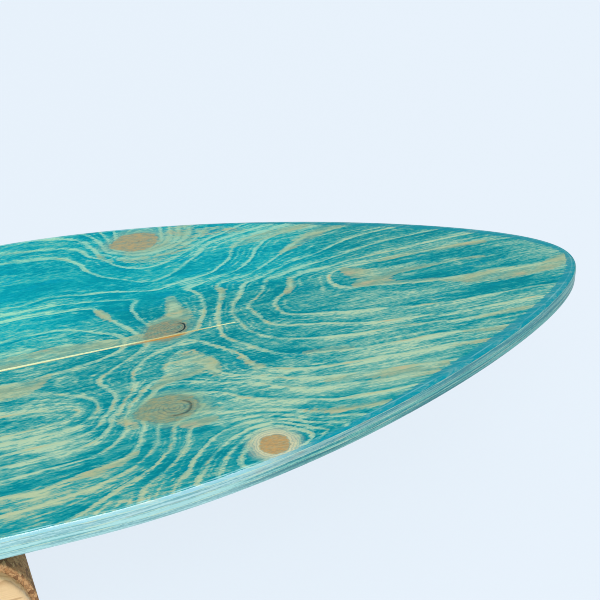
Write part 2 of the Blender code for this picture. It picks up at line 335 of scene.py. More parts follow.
class Effect:
    """A node group that several finishes share, built when it is first used.

    A subclass names its inputs with their defaults, where three numbers make a vector,
    and fills the group.
    """

    inputs: dict[str, Value] = {}
    _made: dict[str, bpy.types.NodeTree] = {}

    @classmethod
    def at(cls, vector: Wire, **values: Value) -> dict[str, Wire]:
        """Place the group in a graph.

        Args:
            vector: Value of its first input.
            **values: Values of its other inputs.

        Returns:
            Its outputs by name.
        """
        if cls.__name__ not in cls._made:
            cls._made[cls.__name__] = cls._tree()
        graph = vector.graph
        node = graph.node("ShaderNodeGroup", node_tree=cls._made[cls.__name__])
        for name, value in {"vector": vector, **values}.items():
            graph.plug(node.inputs[cls._label(name)], value)
        return {socket.name: Wire(graph, socket) for socket in node.outputs}

    @staticmethod
    def _label(name: str) -> str:
        """The name that an input has in the group."""
        return name.replace("_", " ").title()

    @classmethod
    def _tree(cls) -> bpy.types.NodeTree:
        """Build the group."""
        tree = bpy.data.node_groups.new(cls.__name__.lower(), "ShaderNodeTree")
        for name, default in cls.inputs.items():
            kind = "NodeSocketVector" if isinstance(default, tuple) else "NodeSocketFloat"
            socket = tree.interface.new_socket(cls._label(name), in_out="INPUT", socket_type=kind)
            socket.default_value = default
        graph = Graph(tree)
        entry = graph.node("NodeGroupInput")
        made = cls.fill(**{name: Wire(graph, entry.outputs[cls._label(name)]) for name in cls.inputs})
        for name in made:
            tree.interface.new_socket(name, in_out="OUTPUT", socket_type="NodeSocketFloat")
        leave = graph.node("NodeGroupOutput")
        for name, wire in made.items():
            graph.plug(leave.inputs[name], wire)
        return tree

    @staticmethod
    def fill(**wires: Wire) -> dict[str, Wire]:
        """Make the group's outputs out of its inputs."""
        raise NotImplementedError


class Fibre(Effect):
    """Long thin streaks of wood fibre, along the first axis of the vector."""

    inputs = {"vector": ORIGIN, "length": 9.0, "breadth": 0.8}

    @staticmethod
    def fill(vector: Wire, length: Wire, breadth: Wire) -> dict[str, Wire]:
        """Stretch a noise; length and breadth of a streak are in millimetres."""
        along, across = 1 / MM / length, 1 / MM / breadth
        place = vector * vector.graph.join(along, across, across)
        streak = place.noise(detail=4.0, roughness=0.62, distortion=0.25)
        return {"Streak": streak.fade(0.32, 0.68)}


class Teeth(Effect):
    """Ring numbers shifted fibre by fibre, so that the rings get saw teeth and splits."""

    inputs = {"vector": ORIGIN, "ring": 0.0, "slope": 0.0, "pitch": 100.0, "reach": 8.0, "split": 2.0}

    @staticmethod
    def fill(
        vector: Wire, ring: Wire, slope: Wire, pitch: Wire, reach: Wire, split: Wire
    ) -> dict[str, Wire]:
        """Shift the rings along the fibres by the reach, and across them by the split."""
        long = vector.noise((15.0, 1.0, 0), detail=5.0, roughness=0.76)
        across = vector.noise((24.0, 1.9, 0), detail=3.0, roughness=0.6)
        for shift, far, steepness in ((long, reach, slope), (across, split, pitch)):
            ring = (shift - 0.5) * far * MM * steepness + ring
        return {"Ring": ring}


class Rings(Effect):
    """Latewood lines at whole ring numbers, crisp on one side and soft on the other.

    Strength varies from line to line and along each of them.
    """

    inputs = {"vector": ORIGIN, "ring": 0.0, "pitch": 100.0, "width": 2.0, "fade": 3.0, "flat": 0.05}

    @staticmethod
    def fill(vector: Wire, ring: Wire, pitch: Wire, width: Wire, fade: Wire, flat: Wire) -> dict[str, Wire]:
        """Measure the way to the nearest line, and draw what lies on it and beside it."""
        number = ring.math("ROUND")
        off = ring - number
        size = abs(off)
        half = width * 0.5
        away = (size * (1 / MM) / pitch).math("MINIMUM", size / flat * half)
        soft_side = off.math("GREATER_THAN", 0.0)
        own = vector.graph.join(0.0, 0.0, number * 3.7)
        return {
            "Line": away.fade(half - 0.25, half + 0.25, 1.0, 0.0),
            "Bloom": away.fade(half, half + fade, 1.0, 0.0) * soft_side,
            "Deep": away.fade(0.8, 5.0, 1.0, 0.0) * (1.0 - soft_side),
            "Core": away.fade(0.0, half * 0.8, 1.0, 0.0) * half.fade(0.7, 1.5),
            "Strength": (vector.scaled((44.0, 30.0, 0)) + own).noise(detail=3.0, roughness=0.6),
        }


class KnotForm(Effect):
    """A knot: a rough oval with a pointed end, rings, a halo and a dark crescent."""

    inputs = {
        "vector": ORIGIN,
        "centre": ORIGIN,
        "half_size": (0.01, 0.01, 1.0),
        "turn": 0.0,
        "point": 1.0,
        "heart": ORIGIN,
        "arc": 0.35,
        "halo_reach": 1.6,
    }

    @staticmethod
    def fill(
        vector: Wire,
        centre: Wire,
        half_size: Wire,
        turn: Wire,
        point: Wire,
        heart: Wire,
        arc: Wire,
        halo_reach: Wire,
    ) -> dict[str, Wire]:
        """Draw the knot in units of its half size, where its border is at 1."""
        graph = vector.graph
        turned_node = graph.node("ShaderNodeVectorRotate", rotation_type="Z_AXIS")
        graph.plug(turned_node.inputs["Vector"], vector - centre)
        graph.plug(turned_node.inputs["Angle"], turn)
        unit = Wire(graph, turned_node.outputs[0]) * (1.0, 1.0, 0.0) / half_size
        wobble = (unit * (1.7, 1.7, 0.0)).noise(detail=4.0)
        grain = (unit * (2.6, 5.0, 0.0)).noise(detail=6.0, roughness=0.74)
        x, y, _ = unit.split()
        pinch = abs(x.math("MINIMUM", 0.0)) ** 3.0 * point
        span = (x ** 2.0 + y ** 2.0 * (pinch + 1.0)).math("SQRT")
        rough = (grain - 0.5) * 0.34 + ((wobble - 0.5) * 0.45 + span)
        from_heart = unit - heart
        heart_x, heart_y, _ = from_heart.split()
        reach = from_heart.length()
        ragged = (wobble - 0.5) * 0.30 + reach
        swirl = (ragged * 44.0).math("SINE").fade(0.0, 0.9)
        lower_right = (heart_x - heart_y * 0.5).fade(-0.05, 0.22)
        crescent = abs(ragged - arc).fade(0.01, 0.08, 1.0, 0.0) * lower_right
        edge = abs(rough - 0.99).fade(0.02, 0.10, 1.0, 0.0)
        return {
            "Inside": rough.fade(0.88, 1.04, 1.0, 0.0),
            "Halo": rough.fade(0.9, 1.05) * rough.fade(1.0, halo_reach, 1.0, 0.0),
            "Bands": (rough * 34.0).math("SINE") * 0.5 + 0.5,
            "Rings": swirl * (reach.fade(0.15, 0.95, 1.0, 0.30) * wobble.fade(0.32, 0.52)),
            "Grain": grain.fade(0.38, 0.62),
            "Crescent": crescent * grain.fade(0.30, 0.46, 0.4, 1.0),
            "Rim": edge * wobble.fade(0.42, 0.56),
        }


class Wear(Effect):
    """Faint smears and specks that vary a coat's gloss."""

    inputs = {"vector": ORIGIN, "low": 0.25, "high": 0.45}

    @staticmethod
    def fill(vector: Wire, low: Wire, high: Wire) -> dict[str, Wire]:
        """Vary the roughness between low and high."""
        smear = vector.noise((60.0, 22.0, 30.0), detail=3.0)
        specks = vector.noise((2.2, 2.2, 2.2), detail=1.0).fade(0.70, 0.78)
        return {"Roughness": specks * 0.1 + smear.fade(0.3, 0.7, low, high)}


class Finish:
    """A material with one Principled shader."""

    name: str

    OUTPUT_GAP = 300.0

    def build(self) -> Material:
        """Build the material.

        Returns:
            The finished material.
        """
        material = bpy.data.materials.new(self.name)
        material.use_nodes = True
        graph = Graph(material.node_tree)
        shader = material.node_tree.nodes["Principled BSDF"]
        edge = Graph.ROW * Graph.STEP
        shader.location = (edge, 0)
        material.node_tree.nodes["Material Output"].location = (edge + self.OUTPUT_GAP, 0)
        place = Wire(graph, graph.node("ShaderNodeTexCoord").outputs["Object"])
        for name, value in self.dress(place).items():
            graph.plug(shader.inputs[name], value)
        return material

    def dress(self, place: Wire) -> dict[str, Value]:
        """Fill the shader's inputs.

        Args:
            place: Object coordinates.

        Returns:
            Values of the inputs by name.
        """
        raise NotImplementedError


@dataclass(frozen=True)
class Knot:
    """A knot in a veneer, in millimetres on the deck."""

    centre: Pair
    half_size: Pair
    colour: Colour
    heart_colour: Colour
    halo_colour: Colour
    point: float = 2.0
    turn: float = 0.0
    heart: Pair = (0.25, 0.0)
    arc: float = 0.35
    crescent: float = 0.5
    rim: float = 0.4
    halo: float = 0.6
    halo_reach: float = 1.6
    banding: float = 0.8
    swirl: float = 0.4

    BAND = tint(24, 132, 148)
    STREAK = tint(150, 180, 152)
    RING = tint(74, 108, 110)
    CRESCENT = tint(28, 52, 60)
    RIM = tint(30, 96, 104)

    def lay(self, place: Wire, ground: Wire) -> Wire:
        """Lay the knot over the colour around it.

        Args:
            place: Object coordinates.
            ground: Colour of the wood around the knot.

        Returns:
            The colour with the knot in it.
        """
        form = KnotForm.at(
            place,
            centre=(self.centre[0] * MM, self.centre[1] * MM, 0.0),
            half_size=(self.half_size[0] * MM, self.half_size[1] * MM, 1.0),
            turn=math.radians(self.turn),
            point=self.point,
            heart=(*self.heart, 0.0),
            arc=self.arc,
            halo_reach=self.halo_reach,
        )
        hugging = (form["Bands"].fade(0.55, 0.85) * self.banding).mix(self.halo_colour, self.BAND)
        around = (form["Halo"] * self.halo).mix(ground, hugging)
        streaks = Fibre.at(place, length=7.0, breadth=1.0)["Streak"]
        mottle = place.noise((7.0, 3.5, 0), detail=4.0, roughness=0.65)
        body = form["Grain"].mix(self.colour, self.heart_colour)
        body = streaks.fade(0.45, 0.9, 0.0, 0.30).mix(body, self.STREAK)
        body = mottle.fade(0.5, 0.62, 0.0, 0.35).mix(body, self.colour)
        body = (form["Rings"] * self.swirl).mix(body, self.RING)
        inside = form["Inside"].mix(around, body)
        inside = (form["Crescent"] * self.crescent).mix(inside, self.CRESCENT)
        return (form["Rim"] * self.rim).mix(inside, self.RIM)


@dataclass(frozen=True)
class RingLine:
    """One latewood line of the face, by its ring number and a few places in millimetres."""

    ring: float
    places: Sequence[Pair]


@dataclass(frozen=True)
class Swell:
    """A smooth hill on the deck, in millimetres, whose height is in rings or in shares of pale wood."""

    x: float
    y: float
    reach_x: float
    reach_y: float
    height: float

    def at(self, x: Array, y: Array) -> Array:
        """Height of the hill at places in millimetres."""
        u = (x - self.x) / self.reach_x
        v = (y - self.y) / self.reach_y
        return self.height * np.exp(-(u * u + v * v))


@dataclass(frozen=True)
class Wash:
    """A broad streak that took little stain: places with half widths, in millimetres."""

    places: Sequence[Place]
    strength: float = 1.0

    def at(self, x: Array, y: Array) -> Array:
        """Its strength along the streak, half of it at the half width and 0 well past it."""
        best = np.zeros_like(x)
        for (x0, y0, half0), (x1, y1, half1) in zip(self.places, self.places[1:]):
            along, across = x1 - x0, y1 - y0
            share = ((x - x0) * along + (y - y0) * across) / (along ** 2 + across ** 2)
            share = np.clip(share, 0.0, 1.0)
            away = np.hypot(x - x0 - share * along, y - y0 - share * across)
            half = half0 + share * (half1 - half0)
            best = np.maximum(best, np.clip(1.5 - away / half, 0.0, 1.0))
        return best * self.strength


FACE_LINES = (
    RingLine(13.0, ((137, 142), (142, 133), (145, 124))),
    RingLine(12.0, ((122, 142), (132, 135), (136, 124), (139, 113))),
    RingLine(11.0, ((72, 138), (104, 132), (120, 128), (130, 120), (139, 108), (147, 95), (158, 87))),
    RingLine(11.0, ((170, 85), (186, 89), (200, 97), (213, 105), (229, 111), (245, 117))),
    RingLine(10.0, ((68, 124), (90, 123), (106, 120), (120, 110), (125, 98), (129, 90), (143, 78))),
    RingLine(10.0, ((155, 69), (168, 67), (182, 73), (196, 84), (207, 92), (215, 100), (228, 104),
        (262, 110))),
    RingLine(9.5, ((70, 97), (100, 95), (118, 88), (140, 71), (170, 61))),
    RingLine(9.0, ((60, 70), (76, 67), (90, 71), (106, 69), (118, 66), (140, 62), (155, 57), (166, 55))),
    RingLine(9.0, ((176, 58), (192, 60), (205, 63), (215, 70), (224, 77), (230, 88), (240, 96),
        (258, 102), (280, 104))),
    RingLine(8.0, ((58, 60), (76, 60), (98, 60), (110, 58), (124, 55), (140, 51), (149, 49))),
    RingLine(8.0, ((146, 45), (142, 38), (144, 28), (147, 19))),
    RingLine(8.0, ((182, 50), (195, 52), (210, 56), (225, 61), (236, 70), (243, 80), (256, 92),
        (275, 98), (292, 97))),
    RingLine(8.0, ((187, 46), (191, 38), (189, 26), (184, 14), (178, 2), (173, -12), (180, -19),
        (188, -27))),
    RingLine(8.0, ((195, -38), (199, -50), (210, -57), (228, -64), (250, -67), (280, -69), (320, -71),
        (350, -75))),
    RingLine(8.5, ((165, 47), (158, 36), (182, 34))),
    RingLine(9.04, ((170, 36), (170, 28), (170, 20))),
    RingLine(7.0, ((57, 52), (72, 53), (98, 51), (112, 50), (121, 47))),
    RingLine(7.0, ((120, 44), (124, 36), (130, 26), (136, 15))),
    RingLine(7.0, ((204, 48), (214, 49), (226, 51), (237, 56), (250, 64), (264, 73), (276, 82),
        (292, 87), (310, 89))),
    RingLine(7.0, ((207, 44), (203, 32), (197, 18), (192, 4), (190, -11), (196, -21), (207, -34),
        (220, -44))),
    RingLine(7.0, ((245, -51), (270, -56), (300, -58), (340, -62), (372, -66))),
    RingLine(6.0, ((53, 29), (75, 31), (92, 30), (106, 25), (118, 17), (128, 8))),
    RingLine(6.0, ((223, 43), (234, 44), (245, 50), (262, 57), (280, 61), (295, 67), (310, 72),
        (340, 75))),
    RingLine(6.0, ((221, 40), (216, 30), (207, 20), (204, 8), (206, -4), (211, -16), (224, -28),
        (245, -35))),
    RingLine(6.0, ((272, -40), (300, -41), (325, -45), (360, -49), (394, -50))),
    RingLine(5.6, ((50, 6), (80, 6), (105, 5), (122, 3))),
    RingLine(5.0, ((46, 13), (70, 13), (95, 13), (112, 11), (124, 7))),
    RingLine(5.0, ((238, 42), (250, 43), (265, 48), (282, 51), (310, 57), (335, 61), (360, 62))),
    RingLine(5.0, ((237, 38), (232, 30), (224, 22), (217, 14), (219, 4), (222, -8), (234, -15),
        (255, -21))),
    RingLine(5.0, ((275, -28), (300, -34), (340, -39), (375, -41), (404, -42))),
    RingLine(4.0, ((262, 40), (285, 42), (310, 45), (345, 46), (385, 48))),
    RingLine(4.0, ((254, 35), (250, 25), (240, 19), (233, 9), (236, -2), (252, -8), (275, -14),
        (300, -19))),
    RingLine(4.0, ((330, -25), (365, -28), (400, -29), (425, -32))),
    RingLine(3.5, ((265, 25), (300, 0), (330, -9), (370, -21), (405, -22))),
    RingLine(3.0, ((291, 37), (320, 37), (350, 38), (380, 37), (412, 34), (430, 31))),
    RingLine(3.0, ((302, 10), (312, 8), (325, 5), (340, 2), (356, 0), (385, 0), (402, -3))),
    RingLine(3.0, ((420, -5), (434, -3))),
    RingLine(2.6, ((335, 29), (365, 28), (400, 25), (330, 11), (345, 10), (378, 10), (410, 12),
        (430, 14))),
    RingLine(6.0, ((45, -15), (62, -15), (80, -14), (95, -13), (110, -10), (125, -4))),
    RingLine(6.1, ((44, -23), (58, -24), (68, -24))),
    RingLine(6.0, ((45, -31), (60, -32), (74, -35), (88, -43), (97, -54), (96, -59), (86, -68),
        (70, -72), (38, -71))),
    RingLine(6.4, ((86, -26), (90, -35))),
    RingLine(6.75, ((97, -30),)),
    RingLine(5.5, ((60, -6), (90, -6))),
    RingLine(5.0, ((40, -46), (56, -48), (70, -52), (86, -57), (72, -63), (55, -65), (37, -66))),
    RingLine(4.5, ((45, -57), (66, -57))),
    RingLine(7.0, ((140, -6), (126, -16), (111, -25), (103, -33), (107, -43), (109, -53), (104, -63),
        (95, -73))),
    RingLine(7.0, ((85, -79), (60, -82), (34, -83))),
    RingLine(8.0, ((155, -12), (143, -15), (131, -24), (124, -37), (120, -49), (110, -61), (101, -70),
        (97, -80))),
    RingLine(8.0, ((88, -88), (60, -92), (32, -92))),
    RingLine(9.03, ((160, -24), (160, -33), (150, -38), (168, -42), (140, -44))),
    RingLine(9.0, ((160, -17), (150, -25), (142, -35), (128, -48), (115, -62))),
    RingLine(9.0, ((168, -20), (175, -30), (178, -38), (175, -47), (182, -54), (195, -60), (212, -69),
        (235, -76))),
    RingLine(9.0, ((270, -82), (300, -86), (328, -89))),
    RingLine(9.7, ((158, -47),)),
    RingLine(9.0, ((108, -82), (103, -89), (93, -97), (78, -102), (55, -103), (30, -104))),
    RingLine(10.0, ((28, -118), (50, -120), (68, -115), (90, -111), (104, -106), (112, -97), (117, -87))),
    RingLine(10.0, ((140, -49), (155, -51), (170, -58), (190, -64), (205, -74), (225, -84), (250, -88),
        (290, -92))),
    RingLine(11.0, ((24, -133), (50, -131), (80, -126), (98, -120), (113, -110), (121, -101),
        (124, -90))),
    RingLine(11.0, ((165, -66), (180, -78), (200, -87), (222, -95), (245, -101), (270, -103),
        (292, -104))),
    RingLine(12.0, ((63, -147), (80, -139), (100, -129), (116, -120), (128, -107), (133, -94))),
    RingLine(12.0, ((158, -84), (175, -90), (200, -98), (215, -106), (235, -111), (262, -113))),
    RingLine(13.0, ((98, -148), (105, -136), (120, -126), (132, -115), (139, -103), (143, -95),
        (160, -96), (180, -97))),
    RingLine(14.0, ((118, -144), (132, -131), (145, -116), (156, -107), (168, -103), (182, -102),
        (200, -107))),
    RingLine(14.0, ((216, -117), (232, -123), (228, -127), (217, -130))),
    RingLine(15.0, ((132, -144), (143, -128), (156, -117), (170, -110), (184, -107), (200, -113),
        (211, -121), (218, -127), (210, -132), (200, -137))),
    RingLine(16.0, ((144, -143), (156, -127), (168, -117), (177, -112), (190, -111), (203, -119),
        (208, -126), (202, -132), (194, -138))),
    RingLine(17.0, ((160, -138), (166, -126), (175, -116), (188, -114), (197, -121), (199, -129),
        (190, -137))),
    RingLine(18.5, ((184, -127),)),
    RingLine(12.0, ((222, 125), (216, 117), (204, 107), (190, 100), (178, 97))),
    RingLine(13.0, ((211, 129), (207, 119), (197, 110), (186, 104))),
    RingLine(14.0, ((203, 131), (200, 120), (193, 111))),
    RingLine(15.0, ((196, 133), (194, 122), (188, 112))),
    RingLine(16.0, ((190, 134), (188, 122))),
    RingLine(17.0, ((166, 121),)),
)

FACE_WASHES = (
    Wash(((38, 6, 6.5), (60, 6, 7), (80, 6.5, 7), (100, 6, 6), (115, 5, 5), (128, 4, 4), (140, 4, 5))),
    Wash(((36, -23, 8), (50, -24, 8), (60, -23, 7), (70, -20, 4), (76, -17, 2))),
    Wash(((293, 34, 4), (298, 28, 6.5), (306, 23, 7), (316, 20, 6.5), (326, 21, 3.5), (340, 20.5, 3),
        (354, 19.5, 1.5))),
    Wash(((354, 19.5, 1.2), (366, 20.5, 1.7), (378, 19.5, 1.7), (391, 17, 1.0))),
    Wash(((293, 14, 3.5), (301, 15, 6), (308, 13, 5), (320, 7, 2.5), (334, 4, 2.2), (346, 1.5, 2.2),
        (358, -2, 3.5))),
    Wash(((358, -2, 3.5), (368, -5, 6), (382, -7, 7), (396, -8, 6.5), (410, -9.5, 5.5), (426, -9, 5.5),
        (442, -5, 6))),
    Wash(((228, 90, 1.5), (236, 94, 4), (248, 96, 5.5), (262, 98, 5), (278, 100, 4), (295, 101, 3)), 0.8),
    Wash(((258, 70, 1.5), (266, 75, 3.5), (275, 80, 5), (286, 86, 6), (300, 91, 5), (318, 93, 3)), 0.8),
    Wash(((156, 102, 7), (168, 101, 11), (180, 101, 12), (192, 106, 12), (200, 114, 12),
        (204, 126, 12)), 0.66),
    Wash(((212, 120, 7), (228, 116, 6), (244, 110, 4)), 0.55),
    Wash(((156, 108, 2), (164, 106, 3.5), (174, 106, 3.5), (184, 109, 2)), 0.95),
    Wash(((170.5, 41, 4), (170, 34, 5), (170, 28, 6), (172, 20, 7), (166, 17, 7), (152, 17, 4))),
    Wash(((161, -25, 3.5), (162, -33, 11), (160, -38, 9), (148, -43, 5), (134, -50, 2.5))),
    Wash(((171, -33, 5), (174, -40, 5), (173, -48, 4))),
    Wash(((192, -38, 1.5), (197, -46, 3), (200, -52, 4))),
    Wash(((66, -117, 1.5), (80, -115, 3.5), (95, -112, 3), (108, -107, 2)), 0.8),
    Wash(((108, -66, 3), (107, -74, 4), (112, -82, 4)), 0.75),
    Wash(((134, -88, 2), (142, -91, 4.5), (150, -92, 5), (160, -91, 2.5))),
    Wash(((152, -76, 4), (156, -82, 4), (166, -84, 2))),
    Wash(((235, -80, 2), (262, -84, 3.5), (290, -87, 4), (312, -89, 2.5))),
    Wash(((258, -91, 2), (280, -93, 3), (303, -95, 3))),
    Wash(((212, -104, 1.5), (228, -110, 2.5), (262, -113, 2.5))),
    Wash(((232, -48, 2), (250, -50, 3), (262, -54, 2.5))),
    Wash(((322, -73, 1.5), (336, -75, 2), (350, -76, 1.5))),
    Wash(((336, -62, 1.5), (356, -66, 2.5), (369, -68, 2.5))),
    Wash(((352, -50, 1.5), (375, -51, 2.5), (394, -51, 2))),
    Wash(((318, 37, 1.5), (340, 39, 2.5), (365, 38, 2.5), (400, 35, 2))),
    Wash(((146, 100, 1.5), (141, 106, 2.5), (138, 114, 1.5))),
    Wash(((203, 44, 2), (206, 40, 3), (203, 30, 2))),
    Wash(((253, 36, 2.5), (252, 29, 3.5), (246, 22, 2.5))),
    Wash(((121, 46, 1.5), (123, 40, 3.5), (126, 32, 2.5))),
)

TAIL_SWELLS = (
    Swell(-38, 66, 30, 34, 2.6),
    Swell(-96, -70, 34, 36, 2.9),
    Swell(-186, 22, 38, 44, -2.2),
    Swell(-262, -84, 32, 34, 2.4),
    Swell(-318, 62, 36, 38, 2.6),
)

FACE_TONES = (
    Swell(290, -80, 75, 30, 0.45),
    Swell(300, -15, 50, 16, 0.25),
    Swell(60, -72, 45, 22, 0.45),
    Swell(60, -128, 50, 16, 0.30),
    Swell(245, 100, 50, 16, 0.40),
    Swell(195, 112, 20, 12, 0.45),
    Swell(185, -80, 44, 16, 0.65),
    Swell(228, -72, 36, 18, 0.30),
    Swell(310, -8, 34, 9, 0.30),
    Swell(300, 22, 9, 9, 0.30),
    Swell(158, -49, 15, 2.2, -0.50),
    Swell(187, -43, 7, 7, -0.35),
    Swell(60, -45, 40, 12, 0.25),
    Swell(80, 22, 40, 6, 0.20),
    Swell(420, 12, 34, 18, 0.35),
    Swell(400, 45, 50, 14, 0.25),
    Swell(345, -40, 60, 10, 0.15),
    Swell(150, 40, 50, 18, -0.45),
    Swell(352, 10, 36, 6, -1.30),
    Swell(328, 9, 12, 3.5, -0.80),
    Swell(365, -21, 34, 6, -0.70),
    Swell(90, 90, 50, 22, -0.60),
    Swell(225, 70, 40, 12, -0.25),
    Swell(130, -103, 28, 16, -0.55),
    Swell(285, 20, 30, 16, -0.30),
    Swell(108, -22, 16, 12, -0.30),
    Swell(90, -109, 30, 4, -0.40),
    Swell(-120, 0, 70, 60, 0.25),
    Swell(-260, 30, 60, 60, 0.30),
)

FACE_CALMS = (
    Swell(80, 86, 44, 13, 1.3),
    Swell(128, 82, 22, 8, 0.9),
    Swell(152, 46, 26, 9, 1.3),
    Swell(135, 32, 12, 10, 0.8),
    Swell(182, 72, 26, 8, 0.9),
    Swell(96, 40, 26, 6, 0.8),
    Swell(118, -106, 34, 20, 0.5),
    Swell(96, -52, 10, 10, 0.8),
    Swell(345, 10, 30, 5, 0.9),
    Swell(375, -20, 30, 5, 0.9),
    Swell(-60, 110, 60, 14, 0.8),
    Swell(-200, -40, 50, 10, 0.8),
)

BACK_TONES = (
    Swell(250, -20, 110, 50, 0.35),
    Swell(40, 10, 80, 60, 0.25),
    Swell(-240, -10, 90, 60, 0.35),
)

BACK_SWELLS = (
    Swell(290, 34, 34, 36, 3.2),
    Swell(128, -62, 38, 40, 3.8),
    Swell(20, 70, 34, 38, -3.2),
    Swell(-118, -28, 40, 46, 3.6),
    Swell(-226, 84, 30, 34, 3.0),
    Swell(-330, -46, 34, 36, -3.0),
)


class Figure:
    """Ring numbers over a veneer, whose whole numbers are its latewood lines."""

    SLOPE_STEP = 0.5

    def ring(self, x: Array, y: Array) -> Array:
        """Ring number at places in millimetres."""
        raise NotImplementedError

    def slopes(self, x: Array, y: Array) -> tuple[Array, Array]:
        """Rings per metre along the deck and across it.

        Args:
            x: Places along the deck in millimetres.
            y: Places across it in millimetres.

        Returns:
            The two slopes.
        """
        step = self.SLOPE_STEP
        along = (self.ring(x + step, y) - self.ring(x - step, y)) / (2 * step * MM)
        across = (self.ring(x, y + step) - self.ring(x, y - step)) / (2 * step * MM)
        return along, across


class FaceFigure(Figure):
    """The face's figure: a thin plate spline through the latewood lines by the nose.

    Past the last of those lines the rings run on towards the tail and swell round
    more knots.
    """

    GRAIN_STRETCH = 0.55
    UNIT = 100.0
    RELAX = 0.0006
    BORDER_MIDDLE = 50.0
    BORDER_SLANT = 0.17
    BORDER_BLEND = 6.0
    FAR_PAST = 20.0
    MOST_PAST = 60.0
    SWAY = (5.0, 105.0)
    RIPPLE = (2.5, 41.0)
    BLOCK = 20000

    def __init__(self, lines: Sequence[RingLine], swells: Sequence[Swell]) -> None:
        """Fit the spline to the lines."""
        self.swells = swells
        places = [place for line in lines for place in line.places]
        rings = [line.ring for line in lines for _ in line.places]
        self.knots = self._scaled(np.array(places, float))
        count = len(rings)
        system = np.zeros((count + 3, count + 3))
        system[:count, :count] = self._kernel(self._squares(self.knots)) + self.RELAX * np.eye(count)
        system[:count, count] = 1
        system[:count, count + 1:] = self.knots
        system[count:, :count] = system[:count, count:].T
        self.weights = np.linalg.solve(system, np.array(rings + [0.0, 0.0, 0.0]))

    def _scaled(self, places: Array) -> Array:
        """Shrink places along the grain, so that the spline runs smoother that way."""
        return places * np.array([self.GRAIN_STRETCH, 1.0]) / self.UNIT

    def _squares(self, places: Array) -> Array:
        """Squared distances from places to the spline's own."""
        return ((places[:, None, :] - self.knots[None, :, :]) ** 2).sum(-1)

    @staticmethod
    def _kernel(squares: Array) -> Array:
        """Thin plate kernel of squared distances."""
        least = 1e-12
        return 0.5 * squares * np.log(np.maximum(squares, least))

    def _spline(self, x: Array, y: Array) -> Array:
        """The spline at places in millimetres."""
        places = self._scaled(np.stack([x, y], axis=-1))
        count = len(self.knots)
        made = np.empty(len(places))
        for start in range(0, len(places), self.BLOCK):
            block = places[start:start + self.BLOCK]
            bent = self._kernel(self._squares(block)) @ self.weights[:count]
            made[start:start + self.BLOCK] = bent + self.weights[count] + block @ self.weights[count + 1:]
        return made

    def ring(self, x: Array, y: Array) -> Array:
        """Ring number at places in millimetres."""
        border = self.BORDER_MIDDLE + self.BORDER_SLANT * y
        past = np.clip((x - border) / self.BORDER_BLEND, -self.MOST_PAST, self.MOST_PAST)
        held = border + self.BORDER_BLEND * np.log1p(np.exp(past))
        beyond = np.maximum(border - x, 0.0)
        (sway, sway_length), (ripple, ripple_length) = self.SWAY, self.RIPPLE
        drift = sway * np.sin(beyond / sway_length) + ripple * (1 - np.cos(beyond / ripple_length))
        made = self._spline(np.where(past > self.FAR_PAST, x, held), y + drift)
        for swell in self.swells:
            made += swell.at(x, y)
        return made


class BackFigure(Figure):
    """The back's figure: rings across the deck that swell round knots."""

    RING_WIDTH = 15.0
    SWAY = (7.0, 96.0, 0.6)
    RIPPLE = (3.0, 37.0)
    UNEVENNESS = (1.1, 46.0)

    def __init__(self, swells: Sequence[Swell]) -> None:
        """Keep the swells."""
        self.swells = swells

    def ring(self, x: Array, y: Array) -> Array:
        """Ring number at places in millimetres."""
        sway, sway_length, sway_start = self.SWAY
        ripple, ripple_length = self.RIPPLE
        uneven, uneven_length = self.UNEVENNESS
        bent = y + sway * np.sin(x / sway_length + sway_start) + ripple * np.sin(x / ripple_length)
        made = bent / self.RING_WIDTH + uneven * np.sin(y / uneven_length)
        for swell in self.swells:
            made += swell.at(x, y)
        return made


